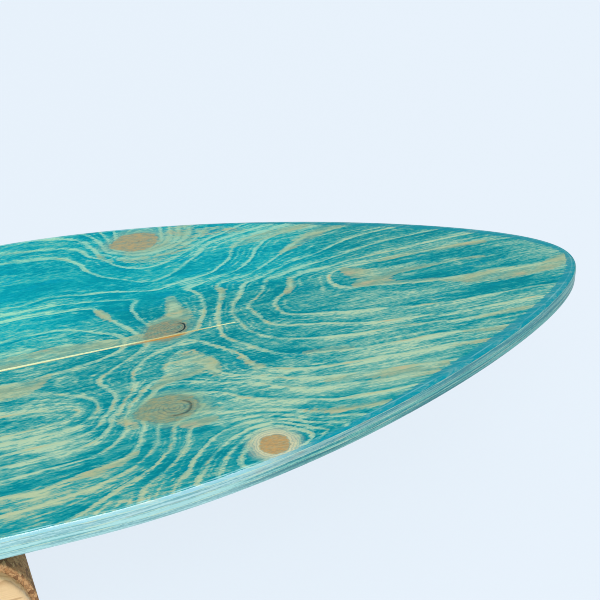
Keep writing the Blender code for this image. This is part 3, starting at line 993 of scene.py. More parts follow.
@dataclass(frozen=True)
class StainedVeneer(Finish):
    """Softwood veneer with a turquoise stain, pale latewood and a satin coat."""

    name: str
    top: float
    bottom: float
    outward: float
    knots: tuple[Knot, ...]
    tones: tuple[tuple[float, Colour], ...] = (
        (0.0, tint(0, 126, 140)),
        (0.14, tint(2, 138, 148)),
        (0.30, tint(34, 149, 154)),
        (0.46, tint(72, 160, 157)),
        (0.62, tint(107, 173, 162)),
        (0.80, tint(135, 186, 169)),
        (1.0, tint(173, 203, 172)),
    )
    blue: Colour = tint(0, 137, 160)
    fresh: Colour = (0.75, 1.42, 1.47, 1.0)
    cool_line: Colour = tint(142, 204, 192)
    tan: Colour = tint(180, 184, 138)
    olive: Colour = tint(156, 168, 130)
    blush: Colour = tint(206, 176, 138)
    routed: Colour = tint(222, 234, 188)
    routed_knot: Colour = tint(196, 194, 144)
    # Scorch beside the routed line by the knot, and painted shade on the line's -Y wall.
    scorch_and_painted_shade: Colour = tint(204, 142, 52)
    edge_colour: Colour = tint(0, 138, 156)
    # Painted highlight: a pale colour laid on the rounded edge where x is low.
    painted_highlight_colour: Colour = tint(158, 206, 218)
    glint: Colour = tint(156, 222, 226)
    ring_shift: float = 300.0

    # Where each zone begins and ends, in millimetres along the deck (X) and across it (Y)
    LONG_FIBRE_X = (200, 280)
    PAINTED_HIGHLIGHT_X = (215, 150)
    SAWN_X = (130, 260)
    EDGE_X = (205, 330)
    BROAD_X, BROAD_Y = (140, 95), (86, 98)
    NARROW_Y = (35, 70)
    SOFT_Y = (50, 20)
    HAIRY_Y = (-100, -60)
    FRESH_X, FRESH_Y = (190, 60), (-20, 50)
    FAR_X, FAR_Y = (320, 240), (20, 60)
    COOL_X = (105, 160)
    WARM_X, WARM_Y = (160, 120), (-104, -116)
    SCORCH_START, SCORCH_END = (120, 150), (164, 172)
    KNOT_START, KNOT_END = (128, 146), (192, 172)

    def dress(self, place: Wire) -> dict[str, Value]:
        """Stain, knots, routed line, and a painted highlight and glint on the edge; see Finish."""
        graph = place.graph
        x, _, _ = place.split()
        ring = self._depth(place) * -self.ring_shift + graph.attribute("ring")
        pitch = graph.attribute("pitch")
        toothed = Teeth.at(place, ring=ring, slope=graph.attribute("slope"), pitch=pitch)["Ring"]
        dash = Fibre.at(place, length=12.0, breadth=2.1)["Streak"]
        hair = self._calmed(Fibre.at(place, length=4.0, breadth=1.0)["Streak"])
        long = Fibre.at(place, length=36.0, breadth=1.5)["Streak"]
        dash = self._calmed(dash + (long - dash) * x.fade_mm(*self.LONG_FIBRE_X, 0.0, 0.8))
        rings = self._main_rings(place, toothed, pitch, dash)
        wash = (dash - 0.5) * 0.42 + graph.attribute("wash")
        wash = ((hair - 0.5) * 0.22 + wash).fade(0.34, 0.70, 0.0, 0.95)
        paleness = self._paleness(place, rings, toothed, pitch, dash, hair, wash)
        colour = self._stain(place, paleness, rings, wash, dash)
        for knot in self.knots:
            colour = knot.lay(place, colour)
        colour = self._groove(place, colour)
        rounded = self._rounded(place)
        # Painted highlight: the rounded edge is paler, less soaked and more coated below x = 150 mm, fading
        # out by 215 mm.
        painted_highlight = x.fade_mm(*self.PAINTED_HIGHLIGHT_X)
        soaked = rounded * (dash * -0.28 + (painted_highlight * -0.16 + 0.98))
        colour = soaked.mix(colour, painted_highlight.mix(self.edge_colour, self.painted_highlight_colour))
        # Painted glint along the border of the flat face, stronger where the painted highlight is.
        line = self._painted_glint_line(place) * (painted_highlight * 0.7 + 0.3)
        return {
            "Base Color": line.mix(colour, self.glint),
            "Roughness": Wear.at(place, low=0.40, high=0.54)["Roughness"],
            "Coat Weight": rounded * painted_highlight.fade(0.0, 1.0, 0.1, 0.7),
            "Normal": (rings["Line"] * 0.5 + hair * 0.5).bump(0.12, 0.5),
            "Specular IOR Level": 0.01,
            "Coat Roughness": 0.28,
        }

    @staticmethod
    def _calmed(streak: Wire) -> Wire:
        """The streaks, weaker where the wood is calm."""
        return streak + (streak - 0.5) * (streak.graph.attribute("calm") * -0.5)

    def _depth(self, place: Wire) -> Wire:
        """How far the surface lies under the veneer's seen face."""
        _, _, z = place.split()
        start = self.top if self.outward > 0 else self.bottom
        return (start - z) * self.outward

    def _rounded(self, place: Wire) -> Wire:
        """1 on the rounded edge, with a sawn border that follows the fibres."""
        x, _, _ = place.split()
        saw = place.noise((14.0, 1.6, 0), roughness=0.6)
        border = (saw - 0.5) * (5 * MM) * x.fade_mm(*self.SAWN_X, 0.15, 1.0)
        reach = x.fade_mm(*self.EDGE_X, -1.3 * MM, 4.0 * MM)
        return (place.graph.attribute("rim") + border - reach).fade_mm(0.5, 0.0)

    def _painted_glint_line(self, place: Wire) -> Wire:
        """A painted glint: a thin broken bright line along the border of the flat face."""
        line = abs(place.graph.attribute("rim")).fade_mm(0.25, 0.6, 1.0, 0.0)
        broken = place.noise((30.0, 30.0, 0), detail=3.0, roughness=0.6)
        return line * broken.fade(0.42, 0.58, 0.15, 0.85)

    def _main_rings(self, place: Wire, toothed: Wire, pitch: Wire, dash: Wire) -> dict[str, Wire]:
        """The listed latewood lines, wider where the wood is streaky."""
        attribute = place.graph.attribute
        streaky = attribute("streaky")
        x, y, _ = place.split()
        lumps = place.noise((38.0, 16.0, 0), detail=3.0, roughness=0.6)
        along = abs(attribute("slope")) / pitch
        width = lumps.fade(0.3, 0.7, 0.6, 2.2) + along.fade(0.3, 0.95, 0.0, 1.6)
        width = width + streaky * 1.1 + dash * 0.8
        broad = x.fade_mm(*self.BROAD_X) * y.fade_mm(*self.BROAD_Y, 0.0, 1.7) + 1.0
        width = width * y.fade_mm(*self.NARROW_Y, 0.92, 0.70) * broad
        width = width * (attribute("calm") * -0.30 + 1.0)
        return Rings.at(place, ring=toothed, pitch=pitch, width=width, fade=streaky * 4.0 + 1.6, flat=0.05)

    def _paleness(
        self,
        place: Wire,
        rings: dict[str, Wire],
        toothed: Wire,
        pitch: Wire,
        dash: Wire,
        hair: Wire,
        wash: Wire,
    ) -> Wire:
        """How little stain the wood took, from 0 in soft wood to 1 in hard wood."""
        _, y, _ = place.split()
        lively = place.graph.attribute("calm") * -0.45 + 1.0
        patch = place.noise((52.0, 17.0, 0), detail=3.0, roughness=0.55)
        pale = patch.fade(0.30, 0.66, 0.04, y.fade_mm(*self.SOFT_Y, 0.31, 0.44)) * lively
        pale = place.graph.attribute("streaky") * 0.40 + pale
        pale = wash * (0.54 - pale) + pale
        pale = (dash - 0.5) * 0.42 + pale
        pale = (hair - 0.5) * y.fade_mm(*self.HAIRY_Y, 0.32, 0.48) + pale
        pale = rings["Deep"] * -0.14 + pale
        finer = place * (1.7, 1.7, 1.0)
        thin = Rings.at(finer, ring=toothed * 4.0, pitch=pitch * 4.0, width=1.1, fade=1.2, flat=0.16)
        shown = thin["Strength"].fade(0.46, 0.60, 0.0, 0.34) * (dash * 0.5 + 0.6) * lively
        pale = thin["Line"] * shown + pale
        pale = pale + rings["Bloom"] * (dash * 0.34 + 0.10)
        strength = (hair - 0.5) * 0.22 + rings["Strength"].fade(0.36, 0.62, 0.30, 0.80)
        return (rings["Line"] * strength * (1.0 - pale) + pale).clamped()

    def _stain(self, place: Wire, paleness: Wire, rings: dict[str, Wire], wash: Wire, dash: Wire) -> Wire:
        """Colour of the stained wood, with bluer patches and tan hearts in the wide lines."""
        x, y, _ = place.split()
        hue = place.noise((30.0, 7.0, 0), detail=3.0, roughness=0.6)
        bluer = hue.fade(0.54, 0.68) * paleness.fade(0.1, 0.5, 0.55, 0.0)
        colour = bluer.mix(place.graph.ramp(paleness, self.tones), self.blue)
        near = x.fade_mm(*self.FRESH_X) * y.fade_mm(*self.FRESH_Y)
        far = x.fade_mm(*self.FAR_X) * y.fade_mm(*self.FAR_Y, 0.0, 0.8)
        fresh = near.math("MAXIMUM", far)
        colour = (fresh * paleness.fade(0.30, 0.65, 1.0, 0.6)).mix(colour, self.fresh, "MULTIPLY")
        cool = fresh * x.fade_mm(*self.COOL_X, 0.15, 0.7) * paleness.fade(0.45, 0.80)
        colour = cool.mix(colour, self.cool_line)
        warmth = place.noise((34.0, 9.0, 0), detail=3.0, roughness=0.6)
        heart = rings["Core"] * warmth.fade(0.44, 0.62, 0.0, 0.75) * (fresh * -0.8 + 1.0)
        warm = x.fade_mm(*self.WARM_X) * y.fade_mm(*self.WARM_Y, 0.0, 0.4)
        warm = warm * paleness.fade(0.45, 0.75)
        heart = heart.math("MAXIMUM", warm)
        olive = wash * warmth.fade(0.36, 0.60, 0.15, 0.60)
        colour = olive.mix(heart.mix(colour, self.tan), self.olive)
        rosy = warmth.fade(0.56, 0.70) * (heart.math("MAXIMUM", olive) * dash)
        return rosy.mix(colour, self.blush)

    def _groove(self, place: Wire, ground: Wire) -> Wire:
        """Lay the bare wood of the routed line, with painted shade on its -Y wall and a scorch beside it by
        the knot.
        """
        x, y, _ = place.split()
        routed = place.graph.attribute("groove").fade(0.25, 0.45)
        beside = abs(y + 1.0 * MM).fade_mm(0.5, 1.5, 1.0, 0.0)
        beside = beside * x.fade_mm(*self.SCORCH_START) * x.fade_mm(*self.SCORCH_END, 0.8, 0.0)
        # Painted shade: the routed line's -Y wall turns orange-brown, broken up by a noise.
        groove_shade_noise = place.noise((22.0, 3.0, 0))
        painted_groove_shade = y.fade_mm(0.1, -0.7) * groove_shade_noise.fade(0.3, 0.6, 0.35, 1.0)
        over_knot = x.fade_mm(*self.KNOT_START) * x.fade_mm(*self.KNOT_END)
        bare = over_knot.mix(self.routed, self.routed_knot)
        return routed.mix(beside.mix(ground, self.scorch_and_painted_shade), painted_groove_shade.mix(bare, self.scorch_and_painted_shade))


@dataclass(frozen=True)
class PlyEdge(Finish):
    """Cut edge of an inner ply: bands along the edge, with pale glue lines."""

    name: str
    top: float
    bottom: float
    dark: Colour
    light: Colour
    flush: Colour
    glue: Colour = tint(178, 204, 184)
    painted_highlight: Colour = tint(172, 212, 214)
    soaked: Colour = tint(84, 158, 156)

    PAINTED_HIGHLIGHT_X = (210, 130)
    SOAKED_X = (190, 330)

    def dress(self, place: Wire) -> dict[str, Value]:
        """Bands, glue lines, a painted highlight and soaked wood; see Finish."""
        x, _, z = place.split()
        layers = place.noise((60.0, 60.0, 1.5), detail=3.0, roughness=0.55)
        clouds = place.noise((22.0, 22.0, 4.0), detail=3.0, roughness=0.6)
        pores = place.noise((2.4, 2.4, 0.7), roughness=0.6)
        blend = (pores - 0.5) * 0.30 + layers
        colour = blend.fade(0.40, 0.60).mix(self.dark, self.light)
        colour = clouds.fade(0.50, 0.66, 0.0, 0.7).mix(colour, self.flush)
        reach = place.noise((18.0, 18.0, 9.0)).fade(0.35, 0.7, 0.10 * MM, 0.50 * MM)
        glue = (self.top - z).math("MINIMUM", z - self.bottom).math("LESS_THAN", reach)
        # Painted highlight: the edge is paler below x = 130 mm, fading out by 210 mm, more so in the
        # lighter bands.
        painted_highlight = x.fade_mm(*self.PAINTED_HIGHLIGHT_X) * blend.fade(0.35, 0.6, 0.3, 0.72)
        colour = painted_highlight.mix(colour, self.painted_highlight)
        soaked = x.fade_mm(*self.SOAKED_X, 0.0, 0.75)
        colour = soaked.mix(colour, blend.fade(0.44, 0.56).mix(self.dark, self.soaked))
        return {
            "Base Color": (glue * (soaked * -0.4 + 0.72)).mix(colour, self.glue),
            "Normal": blend.bump(0.15, 0.4),
            "Roughness": 0.42,
            "Specular IOR Level": 0.15,
            "Coat Weight": 0.20,
            "Coat Roughness": 0.30,
        }


@dataclass(frozen=True)
class PaleWood(Finish):
    """Clear-coated pale hardwood, with its grain along one axis."""

    name: str
    along_y: bool = True
    light: Colour = tint(222, 190, 140)
    dark: Colour = tint(176, 134, 84)

    def dress(self, place: Wire) -> dict[str, Value]:
        """Growth rings, fibres and a clear coat; see Finish."""
        if self.along_y:
            x, y, z = place.split()
            place = place.graph.join(y, x, z)
        coarse = place.noise((120.0, 9.0, 9.0), distortion=0.3)
        _, y, z = place.scaled((1.0, 5.0, 5.0)).split()
        line = (coarse * 3.2 + (y + z * 0.45)).math("FRACT")
        latewood = line.fade(0.35, 0.93) * line.fade(1.0, 0.95)
        streak = Fibre.at(place, length=6.0, breadth=0.35)["Streak"]
        return {
            "Base Color": (streak * 0.25).mix((latewood * 0.7).mix(self.light, self.dark), self.dark),
            "Roughness": Wear.at(place, low=0.32, high=0.46)["Roughness"],
            "Normal": streak.bump(0.08, 0.5),
            "Coat Weight": 0.25,
            "Coat Roughness": 0.22,
        }


@dataclass(frozen=True)
class Cork(Finish):
    """Granulated cork, ground round and left bare."""

    name: str = "cork_granules"
    light: Colour = tint(206, 164, 116)
    middle: Colour = tint(178, 132, 86)
    dark: Colour = tint(112, 74, 46)

    def dress(self, place: Wire) -> dict[str, Value]:
        """Grains with dark seams and pits; see Finish."""
        grains = place.scaled((2.6, 3.4, 2.6)) + place.noise((3.0, 3.0, 3.0))
        shade, pick, _ = grains.cells("F1", "Color").split()
        seam = grains.cells("DISTANCE_TO_EDGE", "Distance").fade(0.0, 0.10, 1.0, 0.0)
        pits = place.noise((0.7, 0.7, 0.7), detail=3.0, roughness=0.7)
        colour = shade.mix(self.middle, self.light)
        for mask in (pick.math("GREATER_THAN", 0.86) * 0.75, seam * 0.55, pits.fade(0.62, 0.72, 0.0, 0.5)):
            colour = mask.mix(colour, self.dark)
        return {
            "Base Color": colour,
            "Normal": (pits * -0.6 - seam).bump(0.25, 0.7),
            "Roughness": 0.82,
            "Specular IOR Level": 0.25,
        }


@dataclass(frozen=True)
class Rubber(Finish):
    """Matt black rubber with a dusty bloom."""

    name: str = "strip_rubber"
    black: Colour = tint(34, 34, 36)
    dust: Colour = tint(74, 74, 74)

    def dress(self, place: Wire) -> dict[str, Value]:
        """Clouds of dust over a fine grit; see Finish."""
        cloud = place.noise((20.0, 30.0, 8.0), detail=4.0, roughness=0.6)
        return {
            "Base Color": (cloud.fade(0.42, 0.7) * 0.5).mix(self.black, self.dust),
            "Roughness": cloud.fade(0.3, 0.7, 0.62, 0.84),
            "Normal": place.noise((0.5, 0.5, 0.5)).bump(0.08, 0.6),
        }


@dataclass(frozen=True)
class Zinc(Finish):
    """Zinc-plated steel with a mottled shine."""

    name: str = "screw_zinc"
    bright: Colour = tint(196, 198, 196)
    dull: Colour = tint(150, 152, 148)

    def dress(self, place: Wire) -> dict[str, Value]:
        """Bright and dull patches over a fine grain; see Finish."""
        mottle = place.noise((1.4, 1.4, 1.4), detail=3.0, roughness=0.6)
        return {
            "Base Color": mottle.fade(0.35, 0.7).mix(self.bright, self.dull),
            "Roughness": mottle.fade(0.3, 0.7, 0.24, 0.42),
            "Normal": place.noise((0.12, 0.12, 0.12), detail=1.0).bump(0.01, 0.4),
            "Metallic": 1.0,
        }


@dataclass(frozen=True)
class Pipe(Finish):
    """Grey plastic pipe with long draw marks."""

    name: str = "tube_grey"
    light: Colour = tint(158, 160, 158)
    dark: Colour = tint(132, 134, 133)

    def dress(self, place: Wire) -> dict[str, Value]:
        """Marks along the pipe; see Finish."""
        marks = place.noise((0.8, 60.0, 0.8), detail=3.0)
        return {
            "Base Color": marks.fade(0.3, 0.7).mix(self.light, self.dark),
            "Roughness": marks.fade(0.3, 0.7, 0.42, 0.60),
            "Normal": marks.bump(0.03, 0.5),
        }


def add_piece(
    name: str,
    shape: Shape,
    material: Material,
    body: Body,
    stands_for: Iterable[str],
    sharp_angle: float = 35.0,
) -> bpy.types.Object:
    """Turn a shape into a finished piece of the object.

    Args:
        name: Name of the piece.
        shape: Its shape, in place; it is used up.
        material: Its material.
        body: Body that it moves with.
        stands_for: CAD nodes that it replaces.
        sharp_angle: Turn between faces, in degrees, past which an edge stays sharp.

    Returns:
        The piece.
    """
    mesh = bpy.data.meshes.new(name)
    shape.to_mesh(mesh)
    shape.free()
    mesh.materials.append(material)
    mesh.shade_smooth()
    mesh.set_sharp_from_angle(angle=math.radians(sharp_angle))
    obj = bpy.data.objects.new(name, mesh)
    bpy.context.scene.collection.objects.link(obj)
    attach(obj, body.value)
    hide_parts(*stands_for)
    LOG.info("%s: %d faces on %s", name, len(mesh.polygons), body.value)
    return obj


def turned(profile: Sequence[Pair], steps: int, closed: bool) -> Shape:
    """Turn a profile about Z.

    Args:
        profile: Radius and height of each point.
        steps: Steps of a full turn.
        closed: Whether the last point joins the first.

    Returns:
        The turned shape, with its faces pointing outwards.
    """
    shape = bmesh.new()
    verts = [shape.verts.new((radius, 0.0, height)) for radius, height in profile]
    ends = verts[1:] + verts[:1] if closed else verts[1:]
    edges = [shape.edges.new(pair) for pair in zip(verts, ends)]
    bmesh.ops.spin(
        shape,
        geom=verts + edges,
        cent=ORIGIN,
        axis=(0.0, 0.0, 1.0),
        angle=2 * math.pi,
        steps=steps,
        use_merge=True,
    )
    bmesh.ops.remove_doubles(shape, verts=shape.verts, dist=MERGE)
    bmesh.ops.recalc_face_normals(shape, faces=shape.faces)
    return shape


def cut_away(shape: Shape, cutters: Sequence[Shape]) -> Shape:
    """Cut shapes out of another.

    Args:
        shape: Shape to cut; it is used up.
        cutters: Shapes to take away; they are used up.

    Returns:
        What is left.
    """
    objects = []
    for part in (shape, *cutters):
        mesh = bpy.data.meshes.new("cut")
        part.to_mesh(mesh)
        part.free()
        obj = bpy.data.objects.new("cut", mesh)
        bpy.context.scene.collection.objects.link(obj)
        objects.append(obj)
    target = objects[0]
    for cutter in objects[1:]:
        boolean = target.modifiers.new("cut", "BOOLEAN")
        boolean.operation = "DIFFERENCE"
        boolean.solver = "EXACT"
        boolean.object = cutter
    graph = bpy.context.evaluated_depsgraph_get()
    made = bmesh.new()
    made.from_mesh(target.evaluated_get(graph).to_mesh())
    for obj in objects:
        mesh = obj.data
        bpy.data.objects.remove(obj)
        bpy.data.meshes.remove(mesh)
    return made


def block(low: Vector, high: Vector) -> Shape:
    """Make a box between two corners."""
    shape = bmesh.new()
    bmesh.ops.create_cube(shape, size=1.0)
    bmesh.ops.scale(shape, vec=high - low, verts=shape.verts)
    bmesh.ops.translate(shape, vec=(low + high) / 2, verts=shape.verts)
    return shape


def bevel(shape: Shape, edges: Sequence[bmesh.types.BMEdge], width: float, steps: int) -> None:
    """Round edges of a shape."""
    bmesh.ops.bevel(
        shape, geom=edges, offset=width, segments=steps, profile=0.5, affect="EDGES", material=-1
    )


@dataclass
class Deck:
    """The deck: five stained plies with one rounded edge, and a routed line along the face."""

    nose_length: float = 0.382
    nose_radius: float = 0.0263
    tail_radius: float = 0.064
    edge_radius: float = 0.0032
    groove_tail_x: float = -0.380
    groove_nose_x: float = 0.2035
    groove_width: float = 0.0018
    groove_tip_width: float = 0.0008
    groove_taper: float = 0.170
    groove_depth: float = 0.0004
    nick_height: float = 0.00012
    nick_depth: float = 0.00010
    columns: int = 440
    outer_rows: int = 50
    round_steps: int = 8
    ply_steps: int = 12

    GROOVE_ROWS = (0.0, 0.3125, 0.625, 1.0)
    GROOVE_FALL = (1.0, 0.85, 0.0, 0.0)
    GROOVE_MASK = (1.0, 1.0, 0.5, 0.0)
    LEAST_PITCH = 14.0
    STEEP = 70.0
    SHALLOW = 45.0
    MOST_SLOPE = 220.0
    STREAKY = 0.20
    STREAKY_CROWDED = 0.45

    def __post_init__(self) -> None:
        """Read the deck's size from the frame and work out its outline."""
        low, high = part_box("core_ply")
        self.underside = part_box("back_veneer")[0].z
        self.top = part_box("face_veneer")[1].z
        self.nose_x = high.x
        self.tail_x = low.x
        self.half_width = high.y
        self.outline = self._outline()
        self.normals = self._normals()

    def _half_breadth_of_end(self, distance: float, length: float, radius: float) -> float:
        """Half breadth at a distance from a round tip, level where it is full."""
        x = min(max(distance / length, 0.0), 1.0)
        a = 2 * radius * length / self.half_width ** 2
        square = a * x + (3 - 2 * a) * x ** 2 + (a - 2) * x ** 3
        return self.half_width * math.sqrt(max(square, 0.0))

    def half_breadth(self, x: float) -> float:
        """Half breadth of the deck at a place along it."""
        if x > self.nose_x - self.nose_length:
            return self._half_breadth_of_end(self.nose_x - x, self.nose_length, self.nose_radius)
        length = self.nose_x - self.tail_x - self.nose_length
        return self._half_breadth_of_end(x - self.tail_x, length, self.tail_radius)

    def _outline(self) -> list[Vector]:
        """Points of the outline, counter-clockwise from the nose tip."""
        middle = (self.nose_x + self.tail_x) / 2
        half = (self.nose_x - self.tail_x) / 2
        stations = [middle + half * math.cos(math.pi * k / self.columns) for k in range(self.columns + 1)]
        port = [Vector((x, self.half_breadth(x))) for x in stations]
        port[0].y = 0.0
        port[-1].y = 0.0
        return port + [Vector((point.x, -point.y)) for point in reversed(port[1:-1])]

    def _normals(self) -> list[Vector]:
        """Outward normal at each point of the outline."""
        made = []
        count = len(self.outline)
        for k in range(count):
            along = self.outline[(k + 1) % count] - self.outline[k - 1]
            made.append(Vector((along.y, -along.x)).normalized())
        return made

    def edge_inset(self, z: float) -> float:
        """How far the rounded edge lies inside the outline at a height."""
        depth = max(min(self.top - z, z - self.underside), 0.0)
        if depth >= self.edge_radius:
            return 0.0
        rise = self.edge_radius - depth
        return self.edge_radius - math.sqrt(self.edge_radius ** 2 - rise ** 2)

    def _edge_point(self, station: int, inset: float) -> Vector:
        """Place of a station of the outline, moved inwards."""
        return self.outline[station] - self.normals[station] * inset

    def _groove_half(self, x: float) -> float:
        """Half width of the routed line at a place along the deck."""
        share = 1 - (self.groove_nose_x - x) / self.groove_taper
        share = min(max(share, 0.0), 1.0)
        return (self.groove_width + (self.groove_tip_width - self.groove_width) * share) / 2

    def _grid(self, shape: Shape, z: float, routed: bool) -> None:
        """Lay a grid over the flat part of a face, with rows that follow the routed line.

        Args:
            shape: Empty shape to fill.
            z: Height of the face.
            routed: Whether the face has the routed line.
        """
        station = shape.verts.layers.int["station"]
        margin = shape.verts.layers.float["rim"]
        groove = shape.verts.layers.float["groove"]
        rows = 2 * (self.outer_rows + len(self.GROOVE_ROWS) - 1)
        bmesh.ops.create_grid(shape, x_segments=self.columns, y_segments=rows, size=1.0)
        inset = self.edge_inset(z)
        for vert in shape.verts:
            column = round((vert.co.x + 1) / 2 * self.columns)
            row = round((vert.co.y + 1) / 2 * rows) - rows // 2
            port = self.columns - column
            rim = self._edge_point(port, inset)
            y, fall, mask = self._row(abs(row), rim)
            dropped = 0.0
            inside = self.groove_tail_x < rim.x < self.groove_nose_x
            if routed and inside:
                dropped = fall * self.groove_depth
                vert[groove] = mask
            vert.co = (rim.x, math.copysign(y, row), z - dropped)
            vert[station] = port if row >= 0 else (self.columns + column) % (2 * self.columns)
            vert[margin] = (rim.y - y) * self.normals[port].y
        bmesh.ops.remove_doubles(shape, verts=shape.verts, dist=MERGE)
        bmesh.ops.recalc_face_normals(shape, faces=shape.faces)

    def _row(self, row: int, rim: Vector) -> Place:
        """Distance of a row from the middle line, with its share of the routed line.

        Args:
            row: Number of the row, counted from the middle.
            rim: Rim point at the same place along the deck.

        Returns:
            The distance, the share of the groove's depth and the groove's mask.
        """
        last = len(self.GROOVE_ROWS) - 1
        strip = min(self._groove_half(rim.x) / self.GROOVE_ROWS[2], rim.y / 4)
        if row <= last:
            return strip * self.GROOVE_ROWS[row], self.GROOVE_FALL[row], self.GROOVE_MASK[row]
        share = (row - last) / self.outer_rows
        return strip + (rim.y - strip) * share, 0.0, 0.0

    def _disc(self, shape: Shape, z: float, station: object, inset: float) -> None:
        """Lay one face over the whole outline."""
        count = len(self.outline)
        bmesh.ops.create_circle(shape, cap_ends=True, radius=1.0, segments=count)
        for vert in shape.verts:
            k = round(math.atan2(vert.co.y, vert.co.x) / (2 * math.pi) * count) % count
            point = self._edge_point(k, inset)
            vert.co = (point.x, point.y, z)
            vert[station] = k

    def _rings(self, low: float, high: float, side: PlySide) -> list[Pair]:
        """Heights and insets of the rings down a ply's edge, from its first face on.

        Args:
            low: Height of the ply's lower face.
            high: Height of its upper face.
            side: Which side of the ply is seen whole.

        Returns:
            Height and inset of each ring past the first face.
        """
        first, last = (low, high) if side is PlySide.BACK else (high, low)
        away = math.copysign(1.0, last - first)
        heights = []
        if side is PlySide.INNER:
            heights.append(first + away * self.nick_height)
            span = high - low - 2 * self.nick_height
            heights += [heights[0] + away * span * k / self.ply_steps for k in range(1, self.ply_steps)]
        else:
            drop = 1 - (high - low - self.nick_height) / self.edge_radius
            sweep = math.acos(drop)
            for k in range(1, self.round_steps):
                depth = self.edge_radius * (1 - math.cos(sweep * k / self.round_steps))
                heights.append(first + away * depth)
        heights.append(last - away * self.nick_height)
        rings = [(z, self.edge_inset(z)) for z in heights]
        rings.append((last, self.edge_inset(last) + self.nick_depth))
        return rings

    def ply(self, low: float, high: float, side: PlySide) -> Shape:
        """Build one ply.

        Args:
            low: Height of its lower face.
            high: Height of its upper face.
            side: Which side of it is seen whole.

        Returns:
            The ply's shape.
        """
        shape = bmesh.new()
        shape.verts.layers.int.new("station")
        shape.verts.layers.float.new("rim")
        shape.verts.layers.float.new("groove")
        station = shape.verts.layers.int["station"]
        margin = shape.verts.layers.float["rim"]
        start = low if side is PlySide.BACK else high
        if side is PlySide.INNER:
            self._disc(shape, start, station, self.edge_inset(start) + self.nick_depth)
        else:
            self._grid(shape, start, side is PlySide.FACE)
        rim = [edge for edge in shape.edges if edge.is_boundary]
        before = (start, self.edge_inset(start))
        run = 0.0
        for z, inset in self._rings(low, high, side):
            run += math.dist(before, (z, inset))
            before = (z, inset)
            lifted = bmesh.ops.extrude_edge_only(shape, edges=rim)["geom"]
            rim = [item for item in lifted if isinstance(item, bmesh.types.BMEdge)]
            for vert in (item for item in lifted if isinstance(item, bmesh.types.BMVert)):
                point = self._edge_point(vert[station], inset)
                vert.co = (point.x, point.y, z)
                vert[margin] = -run
        bmesh.ops.edgeloop_fill(shape, edges=rim)
        bmesh.ops.recalc_face_normals(shape, faces=shape.faces)
        return shape

    @classmethod
    def carry_figure(
        cls,
        mesh: bpy.types.Mesh,
        figure: Figure,
        tones: Sequence[Swell],
        washes: Sequence[Wash],
        calms: Sequence[Swell],
    ) -> None:
        """Write a figure's rings and slopes on a mesh, with its pale, washed and calm places.

        Args:
            mesh: Mesh of a veneer, in place.
            figure: Figure of that veneer.
            tones: Places where its wood is paler, or deeper.
            washes: Broad pale streaks in it.
            calms: Places where its fibres hardly show.
        """
        places = np.empty(len(mesh.vertices) * 3)
        mesh.vertices.foreach_get("co", places)
        x, y, _ = places.reshape(-1, 3).T / MM
        along, across = figure.slopes(x, y)
        crowded = np.clip((np.abs(across) - cls.SHALLOW) / cls.STEEP, 0.0, 1.0)
        lengthwise = np.clip(1 - np.abs(along) / cls.STEEP, 0.0, 1.0)
        streaky = cls.STREAKY * lengthwise + cls.STREAKY_CROWDED * crowded * lengthwise
        for tone in tones:
            streaky += tone.at(x, y)
        wash = np.zeros_like(x)
        for streak in washes:
            wash = np.maximum(wash, streak.at(x, y))
        calm = np.zeros_like(x)
        for place in calms:
            calm += place.at(x, y)
        numbers = {
            "wash": wash,
            "calm": np.clip(calm, 0.0, 1.0),
            "ring": figure.ring(x, y),
            "slope": np.clip(along, -cls.MOST_SLOPE, cls.MOST_SLOPE),
            "pitch": np.maximum(np.hypot(along, across), cls.LEAST_PITCH),
            "streaky": np.clip(streaky, 0.0, 1.0),
        }
        for name, values in numbers.items():
            layer = mesh.attributes.new(name, "FLOAT", "POINT")
            layer.data.foreach_set("value", values.astype(np.float32))

    def build(self) -> None:
        """Build and dress the five plies."""
        for name, side, slot, finish in self._plies():
            low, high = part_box(name)
            shape = self.ply(low.z, high.z, side)
            piece = add_piece(f"stained_{name}", shape, finish.build(), Body.DECK, [name])
            if side is PlySide.FACE:
                face = FaceFigure(FACE_LINES, TAIL_SWELLS)
                self.carry_figure(piece.data, face, FACE_TONES, FACE_WASHES, FACE_CALMS)
            elif side is PlySide.BACK:
                self.carry_figure(piece.data, BackFigure(BACK_SWELLS), BACK_TONES, (), ())

    @staticmethod
    def _plies() -> list[tuple[str, PlySide, Slot, Finish]]:
        """Node, seen side, record slot and finish of each ply, from the face down."""
        low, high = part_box("face_veneer")
        face = StainedVeneer("face_stain", high.z, low.z, 1.0, FACE_KNOTS)
        plies: list[tuple[str, PlySide, Slot, Finish]] = [("face_veneer", PlySide.FACE, Slot.FACE, face)]
        for name, slot, tints in INNER_PLIES:
            low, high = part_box(name)
            plies.append((name, PlySide.INNER, slot, PlyEdge(f"{name}_edge", high.z, low.z, *tints)))
        low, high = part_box("back_veneer")
        back = StainedVeneer("back_stain", high.z, low.z, -1.0, BACK_KNOTS)
        plies.append(("back_veneer", PlySide.BACK, Slot.BACK, back))
        return plies


INNER_PLIES = (
    ("upper_cross_ply", Slot.CROSS, (tint(50, 130, 140), tint(130, 170, 168), tint(136, 144, 134))),
    ("core_ply", Slot.CORE, (tint(20, 122, 132), tint(116, 180, 164), tint(60, 152, 150))),
    ("lower_cross_ply", Slot.CROSS, (tint(48, 118, 124), tint(112, 170, 162), tint(84, 138, 140))),
)

TAN = tint(166, 156, 120)
OLIVE = tint(140, 158, 130)
GREY_BROWN = tint(134, 148, 122)
ORANGE_BROWN = tint(176, 152, 108)
PALE_RING = tint(204, 206, 172)
TEAL_HALO = tint(96, 176, 168)

